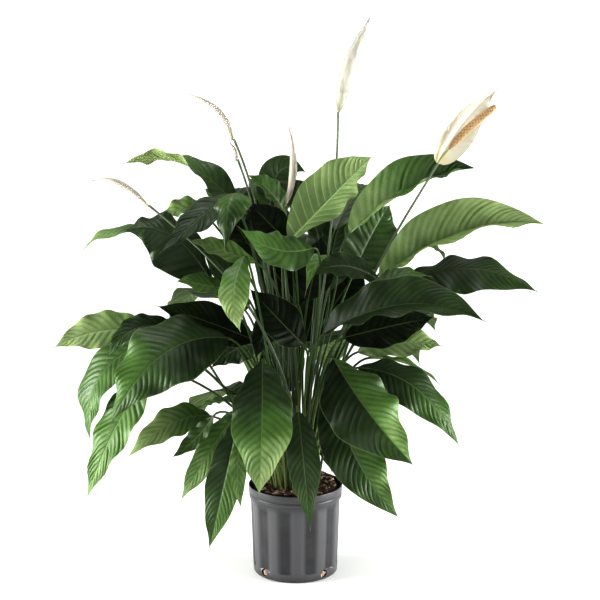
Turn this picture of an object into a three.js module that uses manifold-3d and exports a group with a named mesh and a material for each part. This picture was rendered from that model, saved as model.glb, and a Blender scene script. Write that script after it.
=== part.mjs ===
// A peace lily in a fluted nursery pot: arching leaves and six flowers on long stalks, all
// rising from one crown in a pot of bark compost.
// Millimetres, +Z up. The origin is the centre of the pot's flat base, and -Y is the front.
import * as THREE from "three";
import { mergeVertices } from "three/addons/utils/BufferGeometryUtils.js";
import Module from "manifold-3d";

const wasm = await Module();
wasm.setup();

// Pot: a trade-gallon nursery can, 165 mm across the rim.
const POT_HEIGHT = 160;
const RIM_RADIUS = 82.5;
const BODY_TOP_RADIUS = 79.5;
const BODY_FOOT_RADIUS = 74.5;
const WALL = 1.5;
const FLUTES = 11;
const FLUTE_DEPTH = 2;
const STEPS_PER_FLUTE = 6; // two on the rib, one down, two in the groove, one up
const DRAIN_RADIUS = 7;
const DRAIN_HEIGHT = 12;
const DRAIN_ANGLES = [-47, 42, 132, 222]; // degrees round from the front

// Compost: fills the pot to a little under the rim.
const SOIL_TOP = 150;
const SOIL_EDGE = 147;
const SOIL_RADIUS = 70.5;
const CROWN_RADIUS = 50;
const GAP = 0.3; // between pieces that touch

// Plant tissue.
const PETIOLE_ROOT_RADIUS = 2.4;
const PETIOLE_TOP_RADIUS = 1.8;
const STALK_RADIUS = 2.2;
const STALK_STEPS = 12;
const SPATHE_FOOT_RADIUS = 1.6;
const CLASP = 1; // how far down the stalk a spathe starts
const CLASP_GAP = 0.8;
const SPADIX_SIDES = 10;
const SPADIX_GAP = 0.7; // between a stalk's end and the spadix that stands on it
// The thick part of a spadix, above its bare stipe: [share of its length, share of its radius].
const SPADIX_PROFILE = [[0.04, 0.85], [0.3, 1], [0.75, 0.9], [0.95, 0.62], [1, 0.2]];
const STIPE = 0.35; // radius of the stipe, as a share of the spadix's
const BLADE_HALF_THICKNESS = 0.45;
const MIDRIB_TIP_RADIUS = 0.6;
const TIP_HALF_WIDTH = 0.6;
const UPRIGHT = 0.45; // share of its rise that a stalk starts straight up for
const UPRIGHT_CHOICES = [0.45, 0.3, 0.6, 0.2, 0.7, 0.1];
const NECK = 45; // length over which a petiole turns into its midrib

// The crown, where the stalks leave the compost.
const FOOT_COUNT = 75;
const SLOT_SPACING = 4.7; // sets how densely the stalks stand
const OUTER_FOOT = 37; // from the middle, for the lowest leaves
const INWARD_SHIFT = 0.75; // how much nearer to it the highest ones stand
const LOWEST_BASE = 280;
const HIGHEST_BASE = 820;
const STALK_CLEARANCE = 5.3; // between centre lines
const BLADE_CLEARANCE = 3.3;
const ATTEMPTS = 30;
const SAMPLES = 12; // points tested on each straight length of a stalk
const SHOOT_RADIUS = 9;
const STUB_CLEARANCE = 3.2;

const material = (color, roughness) =>
  new THREE.MeshStandardMaterial({ color, roughness, metalness: 0 });
const potPlastic = material(0x4c4d50, 0.45);
const compost = material(0x4a2c1c, 0.95);
const leafGreen = material(0x2f6b2c, 0.4);
const stalkGreen = material(0x7f9a55, 0.5);
const spatheCream = material(0xf3f0e2, 0.55);
const spadixTan = material(0xb98a4a, 0.7);

// ---------------------------------------------------------------- leaves

// Each leaf is read from the plant: where its blade starts, its midrib's middle and its tip,
// its greatest width, the way its upper face looks at the middle, how far the two halves are
// raised into a V (fold), how much each half curves along its width (curl), and the turn from
// base to tip (twist), in degrees.
const leaf = (name, base, middle, tip, width, face, fold = 8, curl = -10, twist = 0) => ({
  name, base, middle, tip, width, face, fold, curl, twist,
});

const LEAVES = [
  // upper right
  leaf("long_right", [147, 30, 524], [287, 10, 607], [426, -10, 624], 118, [0, -0.6, 0.8], 48, -15),
  leaf("high_right", [95, 60, 597], [208, 60, 680], [310, 40, 714], 110, [0, -0.5, 0.85], 45),
  leaf("outer_right", [179, -20, 522], [296, -50, 555], [406, -80, 520], 100, [0.1, -0.55, 0.83], -15, -5),
  leaf("blue_back", [103, 60, 528], [135, 90, 588], [168, 130, 636], 100, [0.2, -0.9, 0.3], 12, 0),
  // top
  leaf("top", [-9, -60, 605], [71, -85, 693], [127, -50, 744], 105, [-0.35, 0.85, 0.35], 25),
  leaf("arching_top", [-44, 30, 616], [-30, 40, 704], [18, 45, 706], 62, [0.3, -0.8, 0.4], 10, 0),
  leaf("upper_inner", [-16, 0, 638], [-43, -15, 680], [-80, -25, 710], 60, [0.3, -0.5, 0.8], 15, 0),
  // upper left
  leaf("hooded", [-86, -50, 676], [-107, -105, 679], [-115, -140, 602], 70, [-0.2, -0.6, 0.8], -10, -35),
  leaf("striped_left", [-114, -20, 677], [-157, -80, 647], [-219, -150, 600], 65, [-0.2, -0.6, 0.75]),
  leaf("yellow_left", [-144, 30, 621], [-190, 25, 646], [-236, 15, 618], 60, [0, -0.4, 0.9], 10, 0),
  leaf("twisted_left", [-103, 40, 648], [-191, 30, 722], [-291, 10, 726], 75, [0.2, 0, 0.98], 12, 0, 150),
  leaf("broad_left", [-140, -40, 524], [-207, -60, 612], [-285, -70, 622], 120, [0, -0.77, 0.64], -30, -5),
  leaf("far_left", [-219, 10, 603], [-306, -10, 615], [-362, -20, 581], 60, [-0.3, -0.15, 0.95], 0, -10),
  leaf("pale_left", [-67, -80, 570], [-126, -90, 594], [-175, -90, 610], 50, [0, -0.5, 0.85], 10, 0),
  // middle front
  leaf("bright_front", [30, -100, 598], [-31, -140, 602], [-89, -160, 641], 75, [-0.1, -0.7, 0.7], 10, -20),
  leaf("small_front", [-83, -150, 593], [-98, -220, 547], [-87, -250, 490], 52, [0, -0.85, 0.5], -10),
  leaf("low_fold", [-115, -90, 525], [-155, -120, 540], [-195, -140, 550], 50, [0, -0.6, 0.8], 10, 0),
  leaf("crossing", [144, -45, 532], [82, -85, 565], [30, -110, 554], 55, [0, -0.7, 0.7], 8, 0),
  // middle right
  leaf("broad_right", [45, -80, 446], [181, -140, 511], [309, -170, 489], 100, [0, -0.6, 0.8], 35, -15),
  leaf("under_right", [85, -30, 430], [165, -50, 455], [235, -50, 470], 75, [0.1, -0.8, 0.55], 5, 0),
  leaf("lime_right", [109, 10, 395], [191, 10, 411], [253, 5, 407], 75, [0.2, -0.5, 0.85], 8, 0),
  leaf("grey_right", [130, 0, 387], [196, 0, 376], [250, -10, 343], 60, [0.1, 0.1, 1], 8, 0),
  leaf("side_right", [108, -40, 379], [205, -75, 352], [279, -95, 255], 85, [0.3, -0.7, 0.6], -8),
  // middle left
  leaf("outer_left", [-256, 45, 423], [-342, 30, 428], [-418, 0, 406], 75, [0, -0.8, 0.6], 5, -5),
  leaf("dark_left", [-197, -40, 445], [-267, -80, 458], [-315, -100, 412], 50, [-0.3, -0.7, 0.6], 8, 0),
  leaf("big_left", [-114, -80, 440], [-218, -150, 429], [-302, -190, 324], 140, [-0.25, -0.75, 0.6], 8, -25),
  leaf("drooping_left", [-251, -20, 420], [-337, -50, 363], [-353, -60, 254], 85, [-0.6, -0.6, 0.5]),
  leaf("low_left", [-248, -60, 371], [-307, -100, 285], [-354, -120, 169], 80, [-0.5, -0.7, 0.5]),
  // low left
  leaf("mid_left", [-147, -40, 293], [-215, -60, 285], [-289, -70, 227], 70, [-0.2, -0.6, 0.8]),
  leaf("slim_left", [-101, 10, 307], [-141, 10, 305], [-176, 5, 292], 40, [0, 0, 1], 8, 0),
  leaf("narrow_left", [-139, -105, 310], [-171, -112, 271], [-208, -120, 243], 35, [-0.4, -0.7, 0.5], 8, 0),
  leaf("grey_left", [-101, -60, 308], [-149, -84, 238], [-197, -95, 158], 60, [-0.5, -0.7, 0.4]),
  leaf("pot_left", [-96, -120, 310], [-121, -155, 200], [-145, -160, 96], 62, [-0.2, -0.95, 0.2], 10),
  leaf("sliver", [-90, -165, 286], [-95, -185, 237], [-90, -180, 173], 30, [0.2, -0.95, 0.1], 8, 0),
  // low front and right
  leaf("front", [-55, -110, 405], [-55, -180, 310], [-60, -190, 200], 104, [0, -0.95, 0.3], 6, -25),
  leaf("pot_front", [5, -110, 320], [15, -145, 235], [25, -150, 130], 56, [0.1, -0.95, 0.3]),
  leaf("front_right", [65, -80, 405], [120, -160, 335], [195, -190, 250], 135, [0.2, -0.9, 0.4], -20),
  leaf("low_right", [68, -60, 354], [101, -105, 243], [176, -120, 136], 100, [0.1, -0.95, 0.3]),
];

// Three shoots whose leaves are joined at a short stub of rhizome: the leaves that lie behind
// or inside the ones above.
const SHOOTS = [
  {
    name: "rear_right_shoot",
    stub: [17, 22],
    leaves: [
      leaf("rear_right_1", [130, 60, 430], [200, 110, 450], [255, 160, 400], 110, [0.4, 0.3, 0.9]),
      leaf("rear_right_2", [90, 100, 400], [170, 190, 410], [235, 270, 310], 120, [0.4, 0.5, 0.8]),
      leaf("rear_right_3", [60, 110, 500], [110, 220, 540], [150, 320, 470], 120, [0.2, 0.4, 0.9]),
      leaf("rear_right_4", [25, 100, 380], [50, 210, 380], [65, 300, 270], 115, [0.1, 0.6, 0.8]),
      leaf("rear_right_5", [80, 70, 290], [125, 115, 270], [160, 150, 180], 90, [0.5, 0.5, 0.7]),
      leaf("rear_right_6", [70, 80, 600], [120, 160, 660], [170, 230, 640], 95, [0.1, 0.1, 1]),
      leaf("shaded_back", [60, 60, 495], [70, 120, 575], [100, 160, 650], 100, [-0.2, -0.9, 0.3], 10, 0),
      leaf("hidden_top", [40, 80, 590], [15, 100, 650], [-10, 110, 685], 60, [-0.2, -0.7, 0.6], 15, 0),
      leaf("rear_right_7", [45, 120, 560], [65, 195, 620], [85, 260, 600], 95, [0.1, 0.2, 1]),
      leaf("hanging_tip", [175, 80, 550], [235, 80, 570], [265, 75, 540], 50, [0.2, 0.3, 0.9], 8, 0),
      leaf("backing_right", [50, 60, 440], [88, 85, 492], [120, 100, 530], 80, [0, -0.9, 0.4], 5, 0),
      leaf("backing_foot", [48, 62, 275], [62, 92, 208], [66, 110, 146], 56, [0, -0.95, 0.2], 5, 0),
      leaf("backing_middle", [18, 92, 395], [33, 110, 450], [44, 120, 505], 66, [0, -0.95, 0.2], 5, 0),
    ],
  },
  {
    name: "rear_left_shoot",
    stub: [-17, 22],
    leaves: [
      leaf("rear_left_1", [-130, 60, 420], [-230, 100, 430], [-310, 130, 350], 110, [-0.4, 0.3, 0.9]),
      leaf("rear_left_2", [-90, 100, 450], [-170, 190, 470], [-240, 270, 390], 120, [-0.4, 0.5, 0.8]),
      leaf("rear_left_3", [-45, 110, 380], [-70, 220, 380], [-90, 300, 280], 115, [-0.2, 0.6, 0.8]),
      leaf("rear_left_4", [-15, 140, 520], [-30, 225, 570], [-45, 310, 510], 115, [0, 0.4, 0.9]),
      leaf("rear_left_5", [-95, 70, 300], [-150, 130, 290], [-200, 180, 200], 95, [-0.5, 0.5, 0.7]),
      leaf("rear_left_6", [-75, 140, 590], [-120, 200, 650], [-155, 260, 620], 95, [-0.1, 0.1, 1]),
      leaf("rear_left_7", [-30, 150, 610], [-45, 205, 665], [-55, 260, 645], 85, [0, 0.1, 1]),
      leaf("backing_left", [8, 78, 450], [-28, 110, 505], [-70, 125, 556], 84, [0.1, -0.9, 0.4], 5, 0),
      leaf("backing_low", [-14, 118, 405], [-27, 150, 330], [-35, 165, 255], 84, [0, -0.95, 0.2], 5, 0),
      leaf("backing_side", [-55, 60, 400], [-105, 75, 385], [-150, 70, 352], 60, [0, -0.8, 0.6], 5, 0),
    ],
  },
  {
    name: "inner_shoot",
    stub: [0, -2],
    leaves: [
      leaf("dark_inner", [-22, 80, 540], [-52, 95, 606], [-87, 100, 648], 100, [0.2, -0.8, 0.5], 10, 0),
      leaf("shaded_inner", [13, -60, 425], [-31, -72, 474], [-76, -64, 521], 74, [0.2, -0.8, 0.5], 8, 0),
      leaf("inner_tip", [66, -20, 560], [39, -40, 564], [18, -60, 516], 40, [-0.2, -0.3, 0.9], 8, 0),
      leaf("tucked_right", [129, -75, 522], [173, -75, 546], [223, -75, 546], 45, [0, -0.4, 0.9], 8, 0),
      leaf("dark_hood", [-12, -45, 597], [-46, -50, 634], [-78, -45, 665], 62, [0.2, -0.95, 0.1], 5, 0),
      leaf("dark_middle", [22, 15, 487], [34, 15, 543], [46, 20, 598], 72, [0.1, -0.95, 0.2], 5, 0),
      leaf("dark_low", [-6, -45, 490], [-47, -50, 451], [-67, -55, 400], 52, [-0.3, -0.9, 0.2], 5, 0),
      leaf("dark_wide", [-73, -30, 426], [-150, -50, 462], [-233, -60, 491], 74, [0, -0.8, 0.6], 5, 0),
      leaf("dark_side", [-90, -2, 505], [-126, 2, 545], [-158, 4, 578], 44, [0.1, -0.9, 0.4], 5, 0),
      leaf("dark_upper", [-60, 60, 545], [-92, 75, 590], [-118, 85, 628], 56, [0.1, -0.9, 0.4], 5, 0),
    ],
  },
];

// ---------------------------------------------------------------- flowers

// A flower: the top of its stalk and the way the stalk runs there, how far the stalk leans out
// low down, its spathe (a blade like a leaf's) and its spadix. A spadix stands on the stalk's
// end, with a bare stipe for a share of its length. Inside a rolled spathe it runs up to a share
// of the spathe's length, lifted off its midrib; the open one stands free.
const FLOWERS = [
  {
    name: "tall_flower", top: [72, -20, 816], heading: [0, 0, 1], lean: [10, -10],
    spathe: {
      middle: [93, -22, 890], tip: [125, -20, 975], width: 66,
      face: [0.3, -0.9, -0.1], fold: 25, curl: 60,
    },
    spadix: { stipe: 0.25, to: 0.55, lift: 9, radius: 4 },
  },
  {
    name: "open_flower", top: [243, 0, 727], heading: [0.5, 0, 0.85], lean: [50, -20],
    spathe: {
      middle: [292, 14, 802], tip: [342, 10, 852], width: 62,
      face: [0.35, -0.85, -0.3], fold: 12, curl: 15,
    },
    spadix: { stipe: 0.23, middle: [285, -10, 780], end: [338, -16, 826], radius: 6.5 },
  },
  {
    name: "left_bud", top: [-105, 20, 766], heading: [-0.4, 0, 0.9], lean: [-25, 10],
    spathe: {
      middle: [-132, 18, 810], tip: [-178, 20, 842], width: 30,
      face: [0.5, -0.7, 0.5], fold: 25, curl: 70,
    },
    spadix: { stipe: 0.15, to: 0.6, lift: 5.2, radius: 1.6 },
  },
  {
    name: "small_bud", top: [-98, 4, 733], heading: [-0.35, 0, 0.93], lean: [-20, 0],
    spathe: {
      middle: [-104, 3, 748], tip: [-112, 2, 763], width: 9,
      face: [0.5, -0.7, 0.5], fold: 30, curl: 60,
    },
  },
  {
    name: "centre_bud", top: [-15, -30, 658], heading: [0.05, 0, 1], lean: [0, -20],
    spathe: {
      middle: [-8, -30, 722], tip: [-10, -30, 792], width: 40,
      face: [0.6, -0.7, 0], fold: 25, curl: 70,
    },
    spadix: { stipe: 0.15, to: 0.6, lift: 6, radius: 2.2 },
  },
  {
    name: "low_bud", top: [-243, -80, 666], heading: [-0.75, 0.1, 0.6], lean: [-20, -110],
    spathe: {
      middle: [-292, -70, 698], tip: [-338, -62, 706], width: 34,
      face: [0.1, -0.8, 0.6], fold: 25, curl: 70,
    },
    spadix: { stipe: 0.15, to: 0.6, lift: 5.4, radius: 1.8 },
  },
];

// ---------------------------------------------------------------- shape of a blade

const vec = (a) => new THREE.Vector3(...a);
const radians = THREE.MathUtils.degToRad;
const clamp = THREE.MathUtils.clamp;

// Share of the full width at t, from base (0) to tip (1): it swells quickly, is widest short of
// half way, and runs out into a narrow drip tip.
const RISE = 0.6;
const FALL = 1.35;
const swell = (t) => t ** RISE * (1 - t * t) ** FALL;
const WIDEST = Math.sqrt(RISE / (RISE + 2 * FALL));
const bladeShape = (t) => swell(t) / swell(WIDEST);

// Place across one half of a blade at u (0 midrib, 1 margin): [sideways, up], in half widths.
function acrossBlade(u, fold, curl) {
  const start = radians(fold);
  const turn = radians(curl);
  if (Math.abs(turn) < 1e-3) return [u * Math.cos(start), u * Math.sin(start)];
  const end = start + turn * u;
  return [
    (Math.sin(end) - Math.sin(start)) / turn,
    (Math.cos(start) - Math.cos(end)) / turn,
  ];
}

// The upward normals of a midrib, carried along it from its middle without turning.
function carriedNormals(points, tangents, face, middle) {
  const normals = [];
  const flat = (n, t) => n.clone().addScaledVector(t, -n.dot(t)).normalize();
  normals[middle] = flat(vec(face), tangents[middle]);
  for (let i = middle + 1; i < points.length; i++) normals[i] = flat(normals[i - 1], tangents[i]);
  for (let i = middle - 1; i >= 0; i--) normals[i] = flat(normals[i + 1], tangents[i]);
  return normals;
}

const PETIOLE_STEPS = 4;
const BLADE_STATIONS = [0.08, 0.24, 0.45, 0.7, 0.99];
const FINE = 8; // normals are carried along this many steps between stations
// The eight corners of a section: how far across, and whether above (1), on (0) or below (-1).
const CORNERS = [[-1, 0], [-0.5, 1], [0, 1], [0.5, 1], [1, 0], [0.5, -1], [0, -1], [-0.5, -1]];

// Closed geometry through rings of points, each with the same number, capped at both ends. The
// two halves of a ring are split along opposite diagonals, so a blade's two faces stay parallel.
function loft(rings) {
  const size = rings[0].length;
  const positions = rings.flat().flatMap((p) => [p.x, p.y, p.z]);
  const index = [];
  for (let r = 0; r + 1 < rings.length; r++)
    for (let k = 0; k < size; k++) {
      const a = r * size + k;
      const b = r * size + ((k + 1) % size);
      if (k < size / 2) index.push(a, b, a + size, b, b + size, a + size);
      else index.push(a, b, b + size, a, b + size, a + size);
    }
  const last = (rings.length - 1) * size;
  for (let k = 1; k + 1 < size; k++) {
    index.push(0, k + 1, k);
    index.push(last, last + k, last + k + 1);
  }
  const geometry = new THREE.BufferGeometry();
  geometry.setAttribute("position", new THREE.Float32BufferAttribute(positions, 3));
  geometry.setIndex(index);
  return geometry;
}

// The midrib as a quadratic curve that passes through middle half way.
function midribCurve(base, middle, tip) {
  const control = middle.clone().multiplyScalar(2).addScaledVector(base, -0.5).addScaledVector(tip, -0.5);
  return new THREE.QuadraticBezierCurve3(base, control, tip);
}

const leafMidrib = (l) => midribCurve(vec(l.base), vec(l.middle), vec(l.tip));

// The petiole rises straight from its foot, for a share of its height, and leans over into
// the midrib.
function petioleCurve({ foot, upright }, midrib) {
  const rise = midrib.v0.z - foot.z;
  return new THREE.CubicBezierCurve3(
    foot,
    foot.clone().add(new THREE.Vector3(0, 0, upright * rise)),
    midrib.v0.clone().addScaledVector(midrib.getTangent(0), -NECK),
    midrib.v0,
  );
}

// A flower stalk leans from its foot on; it starts where its slanted end just meets the ground.
function stalkCurve({ foot, upright }, { top, heading, lean }) {
  const end = vec(top);
  const reach = end.z - foot.z;
  const ahead = new THREE.Vector3(lean[0], lean[1], upright * reach);
  const start = foot.clone();
  start.z += (STALK_RADIUS * Math.hypot(lean[0], lean[1])) / ahead.length();
  return new THREE.CubicBezierCurve3(
    start,
    start.clone().add(ahead),
    end.clone().addScaledVector(vec(heading).normalize(), -0.36 * reach),
    end,
  );
}

// A blade with or without its petiole, as one closed loft.
// stand says where the petiole starts, or is null for a blade that starts at its base.
function bladeGeometry({ base, middle, tip, width, face, fold, curl, twist = 0 }, stand, footRadius) {
  const midrib = leafMidrib({ base, middle, tip });
  const stops = [];
  if (stand) {
    const petiole = petioleCurve(stand, midrib);
    for (let i = 0; i < PETIOLE_STEPS * FINE; i++) {
      const t = i / (PETIOLE_STEPS * FINE);
      stops.push({ curve: petiole, t, blade: 0, keep: i % FINE === 0 });
    }
  }
  stops.push({ curve: midrib, t: 0, blade: 0, keep: true });
  let before = 0;
  for (const station of BLADE_STATIONS) {
    for (let i = 1; i <= FINE; i++) {
      const t = before + ((station - before) * i) / FINE;
      stops.push({ curve: midrib, t, blade: t, keep: i === FINE });
    }
    before = station;
  }
  const points = stops.map((s) => s.curve.getPoint(s.t));
  const tangents = stops.map((s) => s.curve.getTangent(s.t));
  const halfway = stops.findIndex((s) => s.blade >= 0.5);
  const normals = carriedNormals(points, tangents, face, halfway);
  const rings = [];
  stops.forEach((s, i) => {
    if (!s.keep) return;
    const alongPetiole = s.curve === midrib ? 1 : s.t;
    const stem = THREE.MathUtils.lerp(footRadius, stand ? PETIOLE_TOP_RADIUS : footRadius, alongPetiole);
    const ribRadius = THREE.MathUtils.lerp(stem, MIDRIB_TIP_RADIUS, s.blade);
    const half = Math.max((width / 2) * bladeShape(s.blade), s.blade ? TIP_HALF_WIDTH : stem);
    const open = clamp(half / ribRadius - 1, 0, 1); // 0 a round stalk, 1 an open blade
    const turn = radians(twist) * (s.blade - 0.5);
    const up = normals[i].clone().applyAxisAngle(tangents[i], turn);
    const side = new THREE.Vector3().crossVectors(tangents[i], up);
    rings.push(
      CORNERS.map(([u, above]) => {
        const [across, rise] = acrossBlade(Math.abs(u), fold * open, curl * open);
        const thin = u === 0 ? ribRadius : BLADE_HALF_THICKNESS;
        const round = Math.sqrt(Math.max(0, 1 - u * u)) * ribRadius;
        const thick = THREE.MathUtils.lerp(round, thin, open) * above;
        return points[i]
          .clone()
          .addScaledVector(side, Math.sign(u) * across * half)
          .addScaledVector(up, rise * half + thick);
      }),
    );
  });
  return loft(rings);
}

// ---------------------------------------------------------------- where stalks stand

// Feet of the stalks: the points of a sunflower head, outside the shoots' stubs.
const stubs = SHOOTS.map((s) => new THREE.Vector2(...s.stub));
const feet = [];
for (let k = 0; k < FOOT_COUNT; k++) {
  const radius = SLOT_SPACING * Math.sqrt(k + 0.5);
  const angle = k * Math.PI * (3 - Math.sqrt(5));
  const foot = new THREE.Vector2(radius * Math.cos(angle), radius * Math.sin(angle));
  if (stubs.every((s) => s.distanceTo(foot) > SHOOT_RADIUS + STUB_CLEARANCE)) feet.push(foot);
}

// Everything that a new stalk keeps clear of: stalks as lines, blades as triangles.
const standing = [];
const blades = [];

function addBlade(owner, geometry) {
  const position = geometry.getAttribute("position");
  const corner = (i) => new THREE.Vector3().fromBufferAttribute(position, geometry.index.getX(i));
  for (let i = 0; i < geometry.index.count; i += 3) {
    const triangle = new THREE.Triangle(corner(i), corner(i + 1), corner(i + 2));
    const box = new THREE.Box3().setFromPoints([triangle.a, triangle.b, triangle.c]);
    blades.push({ owner, triangle, box: box.expandByScalar(BLADE_CLEARANCE) });
  }
}

// The straight lengths that a stalk's solid is made of, from the points where they meet.
const lengthsOf = (points) => points.slice(1).map((end, i) => new THREE.Line3(points[i], end));

const petioleLengths = (stand, l) =>
  lengthsOf(petioleCurve(stand, leafMidrib(l)).getPoints(PETIOLE_STEPS));

function isClear(owner, lengths) {
  const near = new THREE.Vector3();
  const tooNear = (a, b) => a.distanceSqToLine3(b) < STALK_CLEARANCE ** 2;
  if (standing.some((other) => lengths.some((length) => tooNear(length, other)))) return false;
  const points = lengths.flatMap((length) =>
    Array.from({ length: SAMPLES }, (_, i) => length.at(i / SAMPLES, new THREE.Vector3())),
  );
  return !points.some((p) =>
    blades.some(
      (b) =>
        b.owner !== owner &&
        b.box.containsPoint(p) &&
        b.triangle.closestPointToPoint(p, near).distanceTo(p) < BLADE_CLEARANCE,
    ),
  );
}

// A stalk takes the foot nearest to its own side of the crown, the lowest stalks furthest out,
// and the uprightness, with which it clears all that stands already. Returns null if it can't.
function takeStand({ name, at, lengthsFrom }, free) {
  const share = (at.z - LOWEST_BASE) / (HIGHEST_BASE - LOWEST_BASE);
  const radius = OUTER_FOOT * (1 - INWARD_SHIFT * clamp(share, 0, 1));
  const wanted = new THREE.Vector2(at.x, at.y).setLength(radius);
  free.sort((a, b) => a.distanceTo(wanted) - b.distanceTo(wanted));
  for (const [index, foot] of free.entries())
    for (const upright of UPRIGHT_CHOICES) {
      const stand = { foot: new THREE.Vector3(foot.x, foot.y, SOIL_TOP + GAP), upright };
      const lengths = lengthsFrom(stand);
      if (!isClear(name, lengths)) continue;
      free.splice(index, 1);
      standing.push(...lengths);
      return stand;
    }
  return null;
}

const leafStalk = (l) => ({
  name: l.name,
  at: vec(l.base),
  lengthsFrom: (stand) => petioleLengths(stand, l),
});
const flowerStalk = (f) => ({
  name: f.name,
  at: vec(f.top),
  lengthsFrom: (stand) => lengthsOf(stalkCurve(stand, f).getSpacedPoints(STALK_STEPS)),
});

// Where a leaf of a shoot starts: inside the stub, on the leaf's own side.
function shootStand({ stub }, l) {
  const inwards = SHOOT_RADIUS - PETIOLE_ROOT_RADIUS - 1.2;
  const side = new THREE.Vector2(l.base[0] - stub[0], l.base[1] - stub[1]).setLength(inwards);
  const foot = new THREE.Vector3(stub[0] + side.x, stub[1] + side.y, SOIL_TOP + GAP + 3);
  return { foot, upright: UPRIGHT };
}

for (const l of [...LEAVES, ...SHOOTS.flatMap((s) => s.leaves)])
  addBlade(l.name, bladeGeometry(l, null, PETIOLE_TOP_RADIUS));
for (const shoot of SHOOTS)
  for (const l of shoot.leaves)
    standing.push(...petioleLengths(shootStand(shoot, l), l));

// Stalks are set lowest first. One that finds no way through goes first on the next try.
function setStalks(stalks) {
  const shootsOnly = standing.length;
  for (let attempt = 0; attempt < ATTEMPTS; attempt++) {
    const free = [...feet];
    const stands = new Map(stalks.map((stalk) => [stalk.name, takeStand(stalk, free)]));
    const lost = stalks.filter(({ name }) => !stands.get(name));
    if (!lost.length) return stands;
    stalks = [...lost, ...stalks.filter((stalk) => !lost.includes(stalk))];
    standing.length = shootsOnly;
  }
  throw new Error("the stalks don't fit");
}

const standOf = setStalks(
  [...LEAVES.map(leafStalk), ...FLOWERS.map(flowerStalk)].sort((a, b) => a.at.z - b.at.z),
);

// ---------------------------------------------------------------- solids

function manifoldOf(geometry) {
  const bare = new THREE.BufferGeometry();
  bare.setAttribute("position", geometry.getAttribute("position"));
  bare.setIndex(geometry.index);
  const merged = mergeVertices(bare, 1e-3);
  return new wasm.Manifold(
    new wasm.Mesh({
      numProp: 3,
      vertProperties: merged.attributes.position.array,
      triVerts: new Uint32Array(merged.index.array),
    }),
  );
}

function geometryOf(solid) {
  const mesh = solid.getMesh();
  const geometry = new THREE.BufferGeometry();
  geometry.setAttribute("position", new THREE.BufferAttribute(mesh.vertProperties, 3));
  geometry.setIndex(new THREE.BufferAttribute(mesh.triVerts, 1));
  return geometry;
}

function mesh(name, geometry, finish) {
  const made = new THREE.Mesh(geometry, finish);
  made.name = name;
  return made;
}

// A round body on an axis from start along heading, from [distance, radius] pairs.
function turned(profile, start, heading, segments = 12) {
  const outline = profile.map(([along, radius]) => new THREE.Vector2(radius, along));
  const geometry = new THREE.LatheGeometry(outline, segments);
  const towards = new THREE.Quaternion().setFromUnitVectors(new THREE.Vector3(0, 1, 0), heading);
  return geometry.applyQuaternion(towards).translate(start.x, start.y, start.z);
}

// ---------------------------------------------------------------- pot and compost

// One ring of the pot's wall at a height; flute is 1 where the grooves are cut.
function potRing(radius, z, flute = 0) {
  const count = FLUTES * STEPS_PER_FLUTE;
  return Array.from({ length: count }, (_, i) => {
    const step = i % STEPS_PER_FLUTE;
    const inGroove = step >= 3 && step <= 5;
    const angle = (i / count) * 2 * Math.PI;
    const r = radius - (inGroove ? FLUTE_DEPTH * flute : 0);
    return new THREE.Vector3(r * Math.cos(angle), r * Math.sin(angle), z);
  });
}

function nurseryPot() {
  const fluteFoot = 15;
  const fluteTop = 131;
  const wallAt = (z) =>
    THREE.MathUtils.mapLinear(z, 13, 135, BODY_FOOT_RADIUS, BODY_TOP_RADIUS);
  const outside = [
    potRing(BODY_FOOT_RADIUS - 4, 0),
    potRing(BODY_FOOT_RADIUS - 0.8, 4),
    potRing(wallAt(13), 13),
    potRing(wallAt(fluteFoot), fluteFoot, 1),
    potRing(wallAt(fluteTop), fluteTop, 1),
    potRing(wallAt(133), 133),
    potRing(BODY_TOP_RADIUS, 136),
    potRing(RIM_RADIUS - 1, 137.5),
    potRing(RIM_RADIUS - 0.7, 145),
    potRing(RIM_RADIUS - 1.8, 146),
    potRing(RIM_RADIUS, 147.5),
    potRing(RIM_RADIUS, POT_HEIGHT),
  ];
  const inside = [
    potRing(RIM_RADIUS - 1.8, POT_HEIGHT),
    potRing(BODY_TOP_RADIUS - WALL, 137),
    potRing(wallAt(133) - WALL, 133),
    potRing(wallAt(fluteTop) - WALL, fluteTop, 1),
    potRing(wallAt(fluteFoot) - WALL, fluteFoot, 1),
    potRing(wallAt(13) - WALL, 13),
    potRing(BODY_FOOT_RADIUS - 4, 2),
  ];
  let pot = manifoldOf(loft([...outside, ...inside]));
  const drill = new THREE.CylinderGeometry(DRAIN_RADIUS, DRAIN_RADIUS, 12, 12);
  for (const degrees of DRAIN_ANGLES) {
    const angle = radians(degrees - 90);
    const hole = drill
      .clone()
      .rotateZ(angle + Math.PI / 2)
      .translate(BODY_FOOT_RADIUS * Math.cos(angle), BODY_FOOT_RADIUS * Math.sin(angle), DRAIN_HEIGHT);
    pot = pot.subtract(manifoldOf(hole));
  }
  return mesh("nursery_pot", geometryOf(pot), potPlastic);
}

function compostBall() {
  const profile = [
    [0, 2 + GAP],
    [SOIL_RADIUS - 3, 2 + GAP],
    [SOIL_RADIUS - 1.5, 16],
    [SOIL_RADIUS, 60],
    [SOIL_RADIUS + 2, SOIL_EDGE - 4],
    [SOIL_RADIUS + 1, SOIL_EDGE],
    [CROWN_RADIUS, SOIL_TOP],
    [0, SOIL_TOP],
  ].map(([r, z]) => new THREE.Vector2(r, z));
  const geometry = new THREE.LatheGeometry(profile, 32).rotateX(Math.PI / 2);
  return mesh("compost", geometry, compost);
}

// ---------------------------------------------------------------- leaves and shoots

const leafMesh = (l) =>
  mesh(`${l.name}_leaf`, bladeGeometry(l, standOf.get(l.name), PETIOLE_ROOT_RADIUS), leafGreen);

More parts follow.
